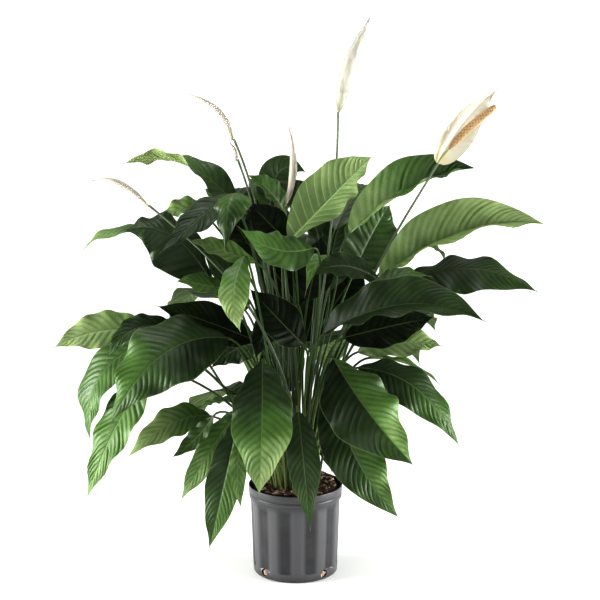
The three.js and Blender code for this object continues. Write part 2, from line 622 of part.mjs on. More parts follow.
// A shoot: its leaves stand on a ring inside a short stub of rhizome, and are joined to it.
function shootMesh(shoot) {
  const foot = new THREE.Vector3(shoot.stub[0], shoot.stub[1], SOIL_TOP + GAP);
  const stubProfile = [[0, 0], [0, SHOOT_RADIUS], [8, SHOOT_RADIUS - 1], [13, 0]];
  let solid = manifoldOf(turned(stubProfile, foot, new THREE.Vector3(0, 0, 1), 16));
  for (const l of shoot.leaves)
    solid = solid.add(manifoldOf(bladeGeometry(l, shootStand(shoot, l), PETIOLE_ROOT_RADIUS)));
  return mesh(shoot.name, geometryOf(solid), leafGreen);
}

// ---------------------------------------------------------------- flowers

const stalkMesh = (flower) => {
  const section = new THREE.Shape().absarc(0, 0, STALK_RADIUS, 0, 2 * Math.PI);
  const curve = stalkCurve(standOf.get(flower.name), flower);
  const path = { steps: STALK_STEPS, curveSegments: 4, extrudePath: curve };
  return mesh(`${flower.name}_stalk`, new THREE.ExtrudeGeometry(section, path), stalkGreen);
};

// The spathe clasps the back of the stalk's end.
function spatheBlade({ top, heading, spathe }) {
  const ahead = vec(heading).normalize();
  const inner = vec(spathe.face).projectOnPlane(ahead).normalize();
  const base = vec(top)
    .addScaledVector(inner, -(STALK_RADIUS + SPATHE_FOOT_RADIUS + CLASP_GAP))
    .addScaledVector(ahead, -CLASP);
  return { ...spathe, base: base.toArray() };
}

// The axis of a spadix, from the stalk's end.
function spadixAxis({ top, heading, spathe, spadix }) {
  const start = vec(top).addScaledVector(vec(heading).normalize(), SPADIX_GAP);
  if (spadix.end) return midribCurve(start, vec(spadix.middle), vec(spadix.end));
  const blade = spatheBlade({ top, heading, spathe });
  const midrib = leafMidrib(blade);
  const lifted = (t) => {
    const up = vec(blade.face).projectOnPlane(midrib.getTangent(t)).normalize();
    return midrib.getPoint(t).addScaledVector(up, spadix.lift);
  };
  return midribCurve(start, lifted(spadix.to / 2), lifted(spadix.to));
}

function spadixMesh(flower) {
  const { stipe, radius } = flower.spadix;
  const axis = spadixAxis(flower);
  const across = new THREE.Vector3(0, 1, 0);
  const thick = SPADIX_PROFILE.map(([t, share]) => [stipe + (1 - stipe) * t, share]);
  const rings = [[0, STIPE], [stipe, STIPE], ...thick].map(([t, share]) => {
    const ahead = axis.getTangent(t);
    const side = across.clone().projectOnPlane(ahead).normalize();
    const up = new THREE.Vector3().crossVectors(side, ahead);
    return Array.from({ length: SPADIX_SIDES }, (_, k) => {
      const angle = (-2 * Math.PI * k) / SPADIX_SIDES;
      return axis
        .getPoint(t)
        .addScaledVector(side, Math.cos(angle) * share * radius)
        .addScaledVector(up, Math.sin(angle) * share * radius);
    });
  });
  return mesh(`${flower.name}_spadix`, loft(rings), spadixTan);
}

function flowerMeshes(flower) {
  const spathe = bladeGeometry(spatheBlade(flower), null, SPATHE_FOOT_RADIUS);
  const made = [stalkMesh(flower), mesh(`${flower.name}_spathe`, spathe, spatheCream)];
  if (flower.spadix) made.push(spadixMesh(flower));
  return made;
}

const plant = new THREE.Group();
plant.add(nurseryPot(), compostBall(), ...LEAVES.map(leafMesh), ...SHOOTS.map(shootMesh));
plant.add(...FLOWERS.flatMap(flowerMeshes));

export default plant;
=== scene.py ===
"""The looks of a potted peace lily, built around its fixed frame. Metres, +Z up, front at -Y."""
import math
import zlib
from collections import namedtuple
from functools import partial

import bpy
import numpy as np
from mathutils import Euler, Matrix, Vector


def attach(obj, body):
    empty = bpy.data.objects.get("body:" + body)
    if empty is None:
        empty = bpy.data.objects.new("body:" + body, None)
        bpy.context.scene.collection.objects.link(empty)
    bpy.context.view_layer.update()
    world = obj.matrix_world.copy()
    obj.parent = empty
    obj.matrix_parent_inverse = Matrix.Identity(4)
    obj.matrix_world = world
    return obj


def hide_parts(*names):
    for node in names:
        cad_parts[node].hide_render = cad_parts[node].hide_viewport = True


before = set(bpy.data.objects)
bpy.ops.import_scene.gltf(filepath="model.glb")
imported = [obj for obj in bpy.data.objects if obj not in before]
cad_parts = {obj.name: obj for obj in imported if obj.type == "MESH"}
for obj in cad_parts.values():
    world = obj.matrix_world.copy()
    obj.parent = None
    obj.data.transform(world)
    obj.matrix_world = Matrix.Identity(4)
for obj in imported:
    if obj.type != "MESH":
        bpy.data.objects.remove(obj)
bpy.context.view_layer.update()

bl_info = {
    "name": "Potted Peace Lily",
    "version": (1, 0, 0),
    "blender": (4, 5, 0),
    "location": "View3D > Sidebar > Peace Lily",
    "description": "Builds the leaves, flowers, pot and compost of a potted peace lily",
    "category": "Object",
}

MM = 0.001

# ------------------------------------------------------------------ the plant, in millimetres

# A leaf: where its blade starts, its midrib's middle and its tip, its greatest width, the way
# its upper face looks at the middle, how far its halves are raised into a V (fold), how much
# each half curves (curl) and its turn from base to tip (twist), in degrees.
Leaf = namedtuple("Leaf", "base middle tip width face fold curl twist", defaults=(8, -10, 0))

LEAVES = {
    # upper right
    "long_right": Leaf((147, 30, 524), (287, 10, 607), (426, -10, 624), 118, (0, -0.6, 0.8), 48, -15),
    "high_right": Leaf((95, 60, 597), (208, 60, 680), (310, 40, 714), 110, (0, -0.5, 0.85), 45),
    "outer_right": Leaf((179, -20, 522), (296, -50, 555), (406, -80, 520), 100, (0.1, -0.55, 0.83), -15, -5),
    "blue_back": Leaf((103, 60, 528), (135, 90, 588), (168, 130, 636), 100, (0.2, -0.9, 0.3), 12, 0),
    # top
    "top": Leaf((-9, -60, 605), (71, -85, 693), (127, -50, 744), 105, (-0.35, 0.85, 0.35), 25),
    "arching_top": Leaf((-44, 30, 616), (-30, 40, 704), (18, 45, 706), 62, (0.3, -0.8, 0.4), 10, 0),
    "upper_inner": Leaf((-16, 0, 638), (-43, -15, 680), (-80, -25, 710), 60, (0.3, -0.5, 0.8), 15, 0),
    # upper left
    "hooded": Leaf((-86, -50, 676), (-107, -105, 679), (-115, -140, 602), 70, (-0.2, -0.6, 0.8), -10, -35),
    "striped_left": Leaf((-114, -20, 677), (-157, -80, 647), (-219, -150, 600), 65, (-0.2, -0.6, 0.75)),
    "yellow_left": Leaf((-144, 30, 621), (-190, 25, 646), (-236, 15, 618), 60, (0, -0.4, 0.9), 10, 0),
    "twisted_left": Leaf((-103, 40, 648), (-191, 30, 722), (-291, 10, 726), 75, (0.2, 0, 0.98), 12, 0, 150),
    "broad_left": Leaf((-140, -40, 524), (-207, -60, 612), (-285, -70, 622), 120, (0, -0.77, 0.64), -30, -5),
    "far_left": Leaf((-219, 10, 603), (-306, -10, 615), (-362, -20, 581), 60, (-0.3, -0.15, 0.95), 0, -10),
    "pale_left": Leaf((-67, -80, 570), (-126, -90, 594), (-175, -90, 610), 50, (0, -0.5, 0.85), 10, 0),
    # middle front
    "bright_front": Leaf(
        (30, -100, 598), (-31, -140, 602), (-89, -160, 641), 75, (-0.1, -0.7, 0.7), 10, -20),
    "small_front": Leaf((-83, -150, 593), (-98, -220, 547), (-87, -250, 490), 52, (0, -0.85, 0.5), -10),
    "low_fold": Leaf((-115, -90, 525), (-155, -120, 540), (-195, -140, 550), 50, (0, -0.6, 0.8), 10, 0),
    "crossing": Leaf((144, -45, 532), (82, -85, 565), (30, -110, 554), 55, (0, -0.7, 0.7), 8, 0),
    # middle right
    "broad_right": Leaf((45, -80, 446), (181, -140, 511), (309, -170, 489), 100, (0, -0.6, 0.8), 35, -15),
    "under_right": Leaf((85, -30, 430), (165, -50, 455), (235, -50, 470), 75, (0.1, -0.8, 0.55), 5, 0),
    "lime_right": Leaf((109, 10, 395), (191, 10, 411), (253, 5, 407), 75, (0.2, -0.5, 0.85), 8, 0),
    "grey_right": Leaf((130, 0, 387), (196, 0, 376), (250, -10, 343), 60, (0.1, 0.1, 1), 8, 0),
    "side_right": Leaf((108, -40, 379), (205, -75, 352), (279, -95, 255), 85, (0.3, -0.7, 0.6), -8),
    # middle left
    "outer_left": Leaf((-256, 45, 423), (-342, 30, 428), (-418, 0, 406), 75, (0, -0.8, 0.6), 5, -5),
    "dark_left": Leaf((-197, -40, 445), (-267, -80, 458), (-315, -100, 412), 50, (-0.3, -0.7, 0.6), 8, 0),
    "big_left": Leaf(
        (-114, -80, 440), (-218, -150, 429), (-302, -190, 324), 140, (-0.25, -0.75, 0.6), 8, -25),
    "drooping_left": Leaf((-251, -20, 420), (-337, -50, 363), (-353, -60, 254), 85, (-0.6, -0.6, 0.5)),
    "low_left": Leaf((-248, -60, 371), (-307, -100, 285), (-354, -120, 169), 80, (-0.5, -0.7, 0.5)),
    # low left
    "mid_left": Leaf((-147, -40, 293), (-215, -60, 285), (-289, -70, 227), 70, (-0.2, -0.6, 0.8)),
    "slim_left": Leaf((-101, 10, 307), (-141, 10, 305), (-176, 5, 292), 40, (0, 0, 1), 8, 0),
    "narrow_left": Leaf(
        (-139, -105, 310), (-171, -112, 271), (-208, -120, 243), 35, (-0.4, -0.7, 0.5), 8, 0),
    "grey_left": Leaf((-101, -60, 308), (-149, -84, 238), (-197, -95, 158), 60, (-0.5, -0.7, 0.4)),
    "pot_left": Leaf((-96, -120, 310), (-121, -155, 200), (-145, -160, 96), 62, (-0.2, -0.95, 0.2), 10),
    "sliver": Leaf((-90, -165, 286), (-95, -185, 237), (-90, -180, 173), 30, (0.2, -0.95, 0.1), 8, 0),
    # low front and right
    "front": Leaf((-55, -110, 405), (-55, -180, 310), (-60, -190, 200), 104, (0, -0.95, 0.3), 6, -25),
    "pot_front": Leaf((5, -110, 320), (15, -145, 235), (25, -150, 130), 56, (0.1, -0.95, 0.3)),
    "front_right": Leaf((65, -80, 405), (120, -160, 335), (195, -190, 250), 135, (0.2, -0.9, 0.4), -20),
    "low_right": Leaf((68, -60, 354), (101, -105, 243), (176, -120, 136), 100, (0.1, -0.95, 0.3)),
}

# Shoots: the middle of the stub that a shoot's leaves grow from, and its leaves.
SHOOTS = {
    "rear_right_shoot": ((17, 22), {
        "rear_right_1": Leaf((130, 60, 430), (200, 110, 450), (255, 160, 400), 110, (0.4, 0.3, 0.9)),
        "rear_right_2": Leaf((90, 100, 400), (170, 190, 410), (235, 270, 310), 120, (0.4, 0.5, 0.8)),
        "rear_right_3": Leaf((60, 110, 500), (110, 220, 540), (150, 320, 470), 120, (0.2, 0.4, 0.9)),
        "rear_right_4": Leaf((25, 100, 380), (50, 210, 380), (65, 300, 270), 115, (0.1, 0.6, 0.8)),
        "rear_right_5": Leaf((80, 70, 290), (125, 115, 270), (160, 150, 180), 90, (0.5, 0.5, 0.7)),
        "rear_right_6": Leaf((70, 80, 600), (120, 160, 660), (170, 230, 640), 95, (0.1, 0.1, 1)),
        "shaded_back": Leaf((60, 60, 495), (70, 120, 575), (100, 160, 650), 100, (-0.2, -0.9, 0.3), 10, 0),
        "hidden_top": Leaf((40, 80, 590), (15, 100, 650), (-10, 110, 685), 60, (-0.2, -0.7, 0.6), 15, 0),
        "rear_right_7": Leaf((45, 120, 560), (65, 195, 620), (85, 260, 600), 95, (0.1, 0.2, 1)),
        "hanging_tip": Leaf((175, 80, 550), (235, 80, 570), (265, 75, 540), 50, (0.2, 0.3, 0.9), 8, 0),
        "backing_right": Leaf((50, 60, 440), (88, 85, 492), (120, 100, 530), 80, (0, -0.9, 0.4), 5, 0),
        "backing_foot": Leaf((48, 62, 275), (62, 92, 208), (66, 110, 146), 56, (0, -0.95, 0.2), 5, 0),
        "backing_middle": Leaf((18, 92, 395), (33, 110, 450), (44, 120, 505), 66, (0, -0.95, 0.2), 5, 0),
    }),
    "rear_left_shoot": ((-17, 22), {
        "rear_left_1": Leaf((-130, 60, 420), (-230, 100, 430), (-310, 130, 350), 110, (-0.4, 0.3, 0.9)),
        "rear_left_2": Leaf((-90, 100, 450), (-170, 190, 470), (-240, 270, 390), 120, (-0.4, 0.5, 0.8)),
        "rear_left_3": Leaf((-45, 110, 380), (-70, 220, 380), (-90, 300, 280), 115, (-0.2, 0.6, 0.8)),
        "rear_left_4": Leaf((-15, 140, 520), (-30, 225, 570), (-45, 310, 510), 115, (0, 0.4, 0.9)),
        "rear_left_5": Leaf((-95, 70, 300), (-150, 130, 290), (-200, 180, 200), 95, (-0.5, 0.5, 0.7)),
        "rear_left_6": Leaf((-75, 140, 590), (-120, 200, 650), (-155, 260, 620), 95, (-0.1, 0.1, 1)),
        "rear_left_7": Leaf((-30, 150, 610), (-45, 205, 665), (-55, 260, 645), 85, (0, 0.1, 1)),
        "backing_left": Leaf((8, 78, 450), (-28, 110, 505), (-70, 125, 556), 84, (0.1, -0.9, 0.4), 5, 0),
        "backing_low": Leaf((-14, 118, 405), (-27, 150, 330), (-35, 165, 255), 84, (0, -0.95, 0.2), 5, 0),
        "backing_side": Leaf((-55, 60, 400), (-105, 75, 385), (-150, 70, 352), 60, (0, -0.8, 0.6), 5, 0),
    }),
    # The dark leaves here, like the backing leaves of the rear shoots, are toned near 0: painted shade for
    # the plant's shaded middle.
    "inner_shoot": ((0, -2), {
        "dark_inner": Leaf((-22, 80, 540), (-52, 95, 606), (-87, 100, 648), 100, (0.2, -0.8, 0.5), 10, 0),
        "shaded_inner": Leaf((13, -60, 425), (-31, -72, 474), (-76, -64, 521), 74, (0.2, -0.8, 0.5), 8, 0),
        "inner_tip": Leaf((66, -20, 560), (39, -40, 564), (18, -60, 516), 40, (-0.2, -0.3, 0.9), 8, 0),
        "tucked_right": Leaf((129, -75, 522), (173, -75, 546), (223, -75, 546), 45, (0, -0.4, 0.9), 8, 0),
        "dark_hood": Leaf((-12, -45, 597), (-46, -50, 634), (-78, -45, 665), 62, (0.2, -0.95, 0.1), 5, 0),
        "dark_middle": Leaf((22, 15, 487), (34, 15, 543), (46, 20, 598), 72, (0.1, -0.95, 0.2), 5, 0),
        "dark_low": Leaf((-6, -45, 490), (-47, -50, 451), (-67, -55, 400), 52, (-0.3, -0.9, 0.2), 5, 0),
        "dark_wide": Leaf((-73, -30, 426), (-150, -50, 462), (-233, -60, 491), 74, (0, -0.8, 0.6), 5, 0),
        "dark_side": Leaf((-90, -2, 505), (-126, 2, 545), (-158, 4, 578), 44, (0.1, -0.9, 0.4), 5, 0),
        "dark_upper": Leaf((-60, 60, 545), (-92, 75, 590), (-118, 85, 628), 56, (0.1, -0.9, 0.4), 5, 0),
    }),
}

# How light a leaf is painted, from 0, old and almost black, to 1, young and pale: at its base and at
# its tip, and how much lighter its right half is than its left when the tip hangs down. Besides age,
# these hold painted light: paler hanging tips are painted sheen, the lighter half is painted light
# from one side, and the leaves toned near 0 in the plant's middle are painted shade.
Tone = namedtuple("Tone", "base tip right", defaults=(0,))
USUAL_TONE = Tone(0.3, 0.4)
TONES = {
    "long_right": Tone(0.75, 0.85), "high_right": Tone(0.75, 0.3), "outer_right": Tone(0.15, 0.35),
    "top": Tone(0.4, 0.5), "arching_top": Tone(0.3, 0.3), "upper_inner": Tone(0.4, 0.5),
    "hooded": Tone(0.5, 0.3), "striped_left": Tone(0.25, 0.2), "yellow_left": Tone(0.7, 0.7),
    "twisted_left": Tone(0.3, 0.85), "broad_left": Tone(0.12, 0.3), "far_left": Tone(0.45, 0.75),
    "pale_left": Tone(0.6, 0.7), "bright_front": Tone(0.35, 0.5), "small_front": Tone(0.5, 0.85),
    "low_fold": Tone(0.4, 0.5), "crossing": Tone(0.15, 0.2), "broad_right": Tone(0.15, 0.3),
    "under_right": Tone(0, 0.05), "lime_right": Tone(0.7, 0.8), "grey_right": Tone(0.5, 0.6),
    "side_right": Tone(0.15, 0.5), "outer_left": Tone(0.68, 0.88), "dark_left": Tone(0.2, 0.3),
    "big_left": Tone(0.22, 0.55, -0.15), "drooping_left": Tone(0.42, 0.5), "low_left": Tone(0.5, 0.62),
    "mid_left": Tone(0.5, 0.9), "slim_left": Tone(0.45, 0.6), "narrow_left": Tone(0.35, 0.35),
    "grey_left": Tone(0.5, 0.65), "pot_left": Tone(0.2, 0.4, 0.2), "sliver": Tone(0.6, 0.6),
    "front": Tone(0.12, 0.74, 0.12), "pot_front": Tone(0.2, 0.35), "front_right": Tone(0.02, 0.35, 0.32),
    "low_right": Tone(0.05, 0.4, 0.25), "shaded_back": Tone(0.25, 0.25),
    "hidden_top": Tone(0.2, 0.2), "hanging_tip": Tone(0.5, 0.5), "dark_inner": Tone(0, 0),
    "shaded_inner": Tone(0, 0), "inner_tip": Tone(0.6, 0.6), "tucked_right": Tone(0.4, 0.5),
    "dark_hood": Tone(0, 0), "dark_middle": Tone(0, 0), "dark_low": Tone(0, 0),
    "dark_wide": Tone(0, 0.1), "backing_right": Tone(0, 0), "backing_foot": Tone(0.1, 0.1),
    "backing_middle": Tone(0, 0), "backing_left": Tone(0, 0), "backing_low": Tone(0, 0),
    "backing_side": Tone(0.2, 0.2), "dark_side": Tone(0.2, 0.25), "dark_upper": Tone(0.05, 0.05),
}

# How deeply the more and the less pleated leaves are pleated.
PLEATS = {
    "long_right": 1.6, "high_right": 1.5, "top": 1.2, "big_left": 1.1, "front": 1.1,
    "striped_left": 1.2, "low_left": 1.3, "broad_right": 0.5, "outer_right": 0.6, "crossing": 0.5,
    "bright_front": 0.6, "small_front": 0.6, "hooded": 0.6, "broad_left": 0.6, "far_left": 0.7,
    "front_right": 0.8, "side_right": 0.8, "pot_front": 0.7, "outer_left": 0.8,
}

# A flower: its stalk's top, the way the stalk runs there and how far it leans low down; its
# spathe's middle, tip, width, face, fold and curl; its spadix; and how early its spathe is
# widest (1 is at four tenths of its length, less is nearer the base).
Flower = namedtuple(
    "Flower", "top heading lean middle tip width face fold curl spadix early", defaults=(1.1,))
# A spadix: its bare stipe's share of its length, its radius, and either how far it is lifted
# off the spathe's midrib and how far along that it reaches, or its own middle and end.
Spadix = namedtuple("Spadix", "stipe radius lift reach middle end", defaults=(0, 0, None, None))

FLOWERS = {
    "tall_flower": Flower(
        (72, -20, 816), (0, 0, 1), (10, -10), (93, -22, 890), (125, -20, 975), 96,
        (-0.25, -0.95, -0.1), 8, 177, Spadix(0.2, 4, 9, 0.5)),
    "open_flower": Flower(
        (243, 0, 727), (0.5, 0, 0.85), (50, -20), (292, 14, 802), (342, 10, 852), 68,
        (0.35, -0.85, -0.3), 12, 15,
        Spadix(0.23, 6.7, middle=(285, -10, 780), end=(338, -16, 826)), 0.7),
    "left_bud": Flower(
        (-105, 20, 766), (-0.4, 0, 0.9), (-25, 10), (-132, 18, 810), (-178, 20, 842), 32,
        (0.5, -0.7, 0.5), 8, 170, Spadix(0.15, 1.6, 5.2, 0.6)),
    "small_bud": Flower(
        (-98, 4, 733), (-0.35, 0, 0.93), (-20, 0), (-104, 3, 748), (-112, 2, 763), 12,
        (0.5, -0.7, 0.5), 20, 120, None),
    "centre_bud": Flower(
        (-15, -30, 658), (0.05, 0, 1), (0, -20), (-8, -30, 722), (-10, -30, 792), 42,
        (0.6, -0.7, 0), 8, 170, Spadix(0.15, 2.2, 6, 0.6)),
    "low_bud": Flower(
        (-243, -80, 666), (-0.75, 0.1, 0.6), (-20, -110), (-292, -70, 698), (-338, -62, 706), 36,
        (0.1, -0.8, 0.6), 8, 170, Spadix(0.15, 1.8, 5.4, 0.6)),
}

# Sizes that the frame's solids were made with.
PETIOLE_ROOT, PETIOLE_TOP = 2.4, 1.8  # radii
NECK = 45  # length over which a petiole turns into its midrib
STEMS_WITHIN = 65  # how near the pot's axis all leaf stems and stalks stand
UPRIGHTS = (0.45, 0.3, 0.6, 0.2, 0.7, 0.1)  # share of its rise that a stalk starts straight up for
STALK_NECK = 0.36  # the same at a flower stalk's top, where it runs along its heading
SHOOT_RADIUS = 9
SHOOT_EDGE = 1.2  # how far inside its shoot's edge a petiole's side stands
SHOOT_FOOT = 153.3  # height at which a shoot's petioles start
SHOOT_UPRIGHT = 0.45
STALK_RADIUS = 2.2
SPATHE_FOOT_RADIUS = 1.6
CLASP, CLASP_GAP = 1, 0.8
SPADIX_GAP = 0.7


# ------------------------------------------------------------------ sizes and colours to change

def length(name, description, mm, smallest=0.0, largest=1000.0):
    return bpy.props.FloatProperty(
        name=name, description=description, default=mm * MM, min=smallest * MM,
        max=largest * MM, unit="LENGTH", precision=5)


def hex_to_linear(code):
    """An sRGB colour such as "#3a6b2e", as linear red, green, blue and alpha."""
    parts = (int(code[i:i + 2], 16) / 255 for i in (1, 3, 5))
    return (*(c / 12.92 if c <= 0.04045 else ((c + 0.055) / 1.055) ** 2.4 for c in parts), 1.0)


def colour(name, description, code):
    return bpy.props.FloatVectorProperty(
        name=name, description=description, default=hex_to_linear(code), size=4, min=0, max=1,
        subtype="COLOR")


def share(name, description, value, largest=1.0):
    return bpy.props.FloatProperty(
        name=name, description=description, default=value, min=0, max=largest, subtype="FACTOR")


def power(name, description, watts):
    return bpy.props.FloatProperty(
        name=name, description=description, default=watts, min=0, unit="POWER")


def count(name, description, number, smallest, largest):
    return bpy.props.IntProperty(
        name=name, description=description, default=number, min=smallest, max=largest)


class LeafLooks(bpy.types.PropertyGroup):
    pleat: length("Pleat", "Depth of the pleats between side veins", 1.9, 0, 8)
    pitch: length("Pitch", "Distance between side veins", 13, 4, 50)
    wave: share("Wave", "Height of a margin's waves, as a share of a leaf's width", 0.05, 0.2)
    sweep: share("Sweep", "How far side veins sweep forwards, as a share of the length", 0.2, 0.2)
    thickness: length("Thickness", "Thickness of a blade", 0.45, 0.1, 3)
    tail: length("Drip tip", "Length of the thread-like end of a blade", 6, 0, 60)
    # The upper-face colours follow a leaf's tone, so they carry its painted light: darkest also paints the
    # shade on the inner leaves, and lime, greyed, the sheen on the paler tips.
    darkest: colour("Darkest", "Upper face of the oldest leaves", "#0d1408")
    deep: colour("Deep", "Upper face of mature leaves", "#223613")
    fresh: colour("Fresh", "Upper face of younger leaves", "#46652a")
    lime: colour("Lime", "Upper face of the youngest leaves", "#9aab78")
    # Undersides are paler than the upper face, and these colours are paler still: painted light shining
    # through the blade.
    under_deep: colour("Underside", "Underside of mature leaves", "#445a2f")
    under_pale: colour("Pale underside", "Underside of younger leaves", "#8a9a68")
    # stem is the petioles' colour higher up, darker as painted shade under the leaves
    stem: colour("Petiole", "Leaf stems", "#31461f")
    root: colour("Petiole base", "Leaf stems near the compost", "#6a7846")
    dry: colour("Dry tip", "Withered end of a blade", "#7a6a48")


class FlowerLooks(bpy.types.PropertyGroup):
    stalk: colour("Stalk", "Upper part of a flower stalk", "#535f46")
    stalk_foot: colour("Stalk foot", "Lower part of a flower stalk", "#2c3b1e")
    spathe: colour("Spathe", "Open spathes", "#9a998f")
    spathe_green: colour("Spathe base", "Base and back rib of a spathe", "#989269")
    spathe_blush: colour("Bud", "Young, rolled spathes", "#aba196")
    spathe_tail: colour("Spathe tail", "Thread-like end of a spathe", "#66705a")
    spadix: colour("Spadix", "Tops of a spadix's bumps", "#c8ad7e")
    spadix_dark: colour("Spadix hollows", "Between a spadix's bumps", "#4a2a12")
    spadix_young: colour("Young spadix", "Spadix of a spathe that is still rolled", "#c8b45e")
    bump: length("Bump", "Spacing of the bumps round a spadix", 4, 0.5, 6)


class PotLooks(bpy.types.PropertyGroup):
    flutes: count("Flutes", "Grooves round the pot", 11, 3, 30)
    flute_depth: length("Flute depth", "Depth of a groove", 3, 0, 5)
    flute_turn: bpy.props.FloatProperty(
        name="Flute turn", description="Turn of the grooves round the pot", default=math.radians(3),
        subtype="ANGLE")
    drain_radius: length("Drain hole", "Radius of a drain hole", 7, 1, 15)
    # The ridges are painted paler and the grooves darker: painted highlight and painted shade on the flutes;
    # dust takes the paler colour too.
    plastic: colour("Plastic", "Moulded grey polypropylene", "#29292b")
    ridge_highlight_and_dust: colour("Rubbed plastic", "Ridges, rubbed paler", "#515153")


class CompostLooks(bpy.types.PropertyGroup):
    chips: count("Chips", "Bark chips on the surface", 1000, 0, 3000)
    chip: length("Chip length", "Length of the longest bark chips", 12, 2, 40)
    bark: colour("Bark", "Outside of a bark chip", "#54382a")
    bark_dark: colour("Dark bark", "Wet bark and peat", "#1d120d")
    bark_pale: colour("Pale wood", "Freshly broken bark", "#b49f8c")


class StageLooks(bpy.types.PropertyGroup):
    gamma: share("Gamma", "Contrast of the picture: lower is stronger", 0.75, 2)
    floor: colour("Floor", "Pale floor", "#f6f6f5")
    glow: share("Glow", "Brightness of the floor's own light, away from the plant", 0.6, 5)
    front: share("Front", "Brightness of the surroundings in front", 0.12, 5)
    above: share("Above", "Brightness of the light tent's top", 0.7, 5)
    beside: share("Beside", "Brightness of the light tent's sides", 0.5, 5)
    behind: share("Behind", "Brightness of the light tent's back", 0.3, 5)
    overhead: power("Overhead light", "Soft light above", 25)
    left: power("Left light", "Soft light, left", 76)
    right: power("Right light", "Soft light, right", 72)
    low: power("Low light", "Weak light, low in front", 14)
    blooms: power("Flower light", "Narrow light on the flowers", 0.6)


# ------------------------------------------------------------------ modelling by hand

# A blank: a closed round bar cut into rows, with the row and column of each of its vertices.
Blank = namedtuple("Blank", "object row column rows around")


def deselect_all():
    bpy.ops.object.select_all(action="DESELECT")


def vertices_of(mesh):
    places = np.empty(len(mesh.vertices) * 3)
    mesh.vertices.foreach_get("co", places)
    return places.reshape(-1, 3)


def cut_across(bar, cuts):
    """Cuts the lengthwise edges of an upright bar, which turns each length into several rows."""
    mesh = bar.data
    ends = np.empty(len(mesh.edges) * 2, dtype=int)
    mesh.edges.foreach_get("vertices", ends)
    height = vertices_of(mesh)[ends.reshape(-1, 2), 2]
    lengthwise = abs(height[:, 0] - height[:, 1]) > 1e-4
    mesh.vertices.foreach_set("select", np.zeros(len(mesh.vertices), dtype=bool))
    mesh.polygons.foreach_set("select", np.zeros(len(mesh.polygons), dtype=bool))
    mesh.edges.foreach_set("select", lengthwise)
    bpy.context.tool_settings.mesh_select_mode = (False, True, False)
    bpy.ops.object.mode_set(mode="EDIT")
    bpy.ops.mesh.subdivide(number_cuts=cuts)
    bpy.ops.object.mode_set(mode="OBJECT")


def bar_blank(around, *parts):
    """A bar with around sides. parts are how many pieces each length is cut into, in turn."""
    deselect_all()
    bpy.ops.mesh.primitive_cylinder_add(vertices=around, radius=1, depth=1, end_fill_type="NGON")
    bar = bpy.context.object
    for count in parts:
        cut_across(bar, count - 1)
    rows = math.prod(parts)
    places = vertices_of(bar.data)
    angle = np.arctan2(places[:, 1], places[:, 0]) - math.pi / 2
    column = np.rint(angle / (2 * math.pi) * around).astype(int) % around
    row = np.rint((places[:, 2] + 0.5) * rows).astype(int)
    return Blank(bar, row, column, rows + 1, around)


def shaped(blank, name, places, **values):
    """A copy of a blank whose vertices go to places[row, column], in mm, with named values."""
    piece = blank.object.copy()
    piece.data = blank.object.data.copy()
    piece.name = piece.data.name = name
    bpy.context.collection.objects.link(piece)
    piece.data.vertices.foreach_set("co", (places[blank.row, blank.column] * MM).ravel())
    for key, value in values.items():
        layer = piece.data.attributes.new(key, "FLOAT", "POINT")
        whole = np.broadcast_to(value, places.shape[:2])
        layer.data.foreach_set("value", whole[blank.row, blank.column].astype(np.float32))
    piece.data.update()
    return piece


def drop(blank):
    bpy.data.objects.remove(blank.object, do_unlink=True)


def joined(name, pieces):
    deselect_all()
    for piece in pieces:
        piece.select_set(True)
    bpy.context.view_layer.objects.active = pieces[0]
    bpy.ops.object.join()
    whole = bpy.context.object
    whole.name = whole.data.name = name
    return whole


def smooth(piece, degrees=50):
    deselect_all()
    piece.select_set(True)
    bpy.context.view_layer.objects.active = piece
    bpy.ops.object.shade_smooth_by_angle(angle=math.radians(degrees))


def finish_piece(piece, material, slot, *nodes):
    piece.data.materials.clear()
    piece.data.materials.append(material)
    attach(piece, "root")
    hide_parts(*nodes)


# ------------------------------------------------------------------ curves and blades

def unit(v):
    return v / np.linalg.norm(v, axis=-1, keepdims=True)


def smoothstep(low, high, x):
    x = np.clip((x - low) / (high - low), 0, 1)
    return x * x * (3 - 2 * x)


class Curve:
    """A Bezier curve from its control points, run on straight past its end."""

    def __init__(self, *points):
        self.points = np.array(points, dtype=float)

    def at(self, t):
        t = np.asarray(t, dtype=float)[..., None]
        inside = np.minimum(t, 1)
        points = list(self.points)
        while len(points) > 1:
            points = [a + (b - a) * inside for a, b in zip(points, points[1:])]
        return points[0] + (t - inside) * self.along(inside[..., 0])

    def along(self, t):
        """The curve's derivative."""
        t = np.minimum(np.asarray(t, dtype=float), 1)[..., None]
        steps = [b - a for a, b in zip(self.points, self.points[1:])]
        degree = len(steps)
        while len(steps) > 1:
            steps = [a + (b - a) * t for a, b in zip(steps, steps[1:])]
        return steps[0] * degree + 0 * t

    def length(self, points):
        """Its length, measured along this many points."""
        return np.linalg.norm(np.diff(self.at(np.linspace(0, 1, points)), axis=0), axis=1).sum()


def midrib_of(base, middle, tip):
    base, middle, tip = (np.array(p, dtype=float) for p in (base, middle, tip))
    return Curve(base, 2 * middle - (base + tip) / 2, tip)


def petiole_of(foot, upright, midrib):
    base = midrib.points[0]
    lift = np.array((0, 0, upright * (base[2] - foot[2])))
    return Curve(foot, foot + lift, base - NECK * unit(midrib.along(0)), base)


def stalk_of(foot, upright, flower):
    end = np.array(flower.top, dtype=float)
    reach = end[2] - foot[2]
    lift = np.array((*flower.lean, upright * reach))
    heading = unit(np.array(flower.heading, dtype=float))
    return Curve(foot, foot + lift, end - STALK_NECK * reach * heading, end)


RISE, FALL = 0.6, 1.35
WIDEST = math.sqrt(RISE / (RISE + 2 * FALL))


def swell(t):
    return t ** RISE * (1 - t * t) ** FALL


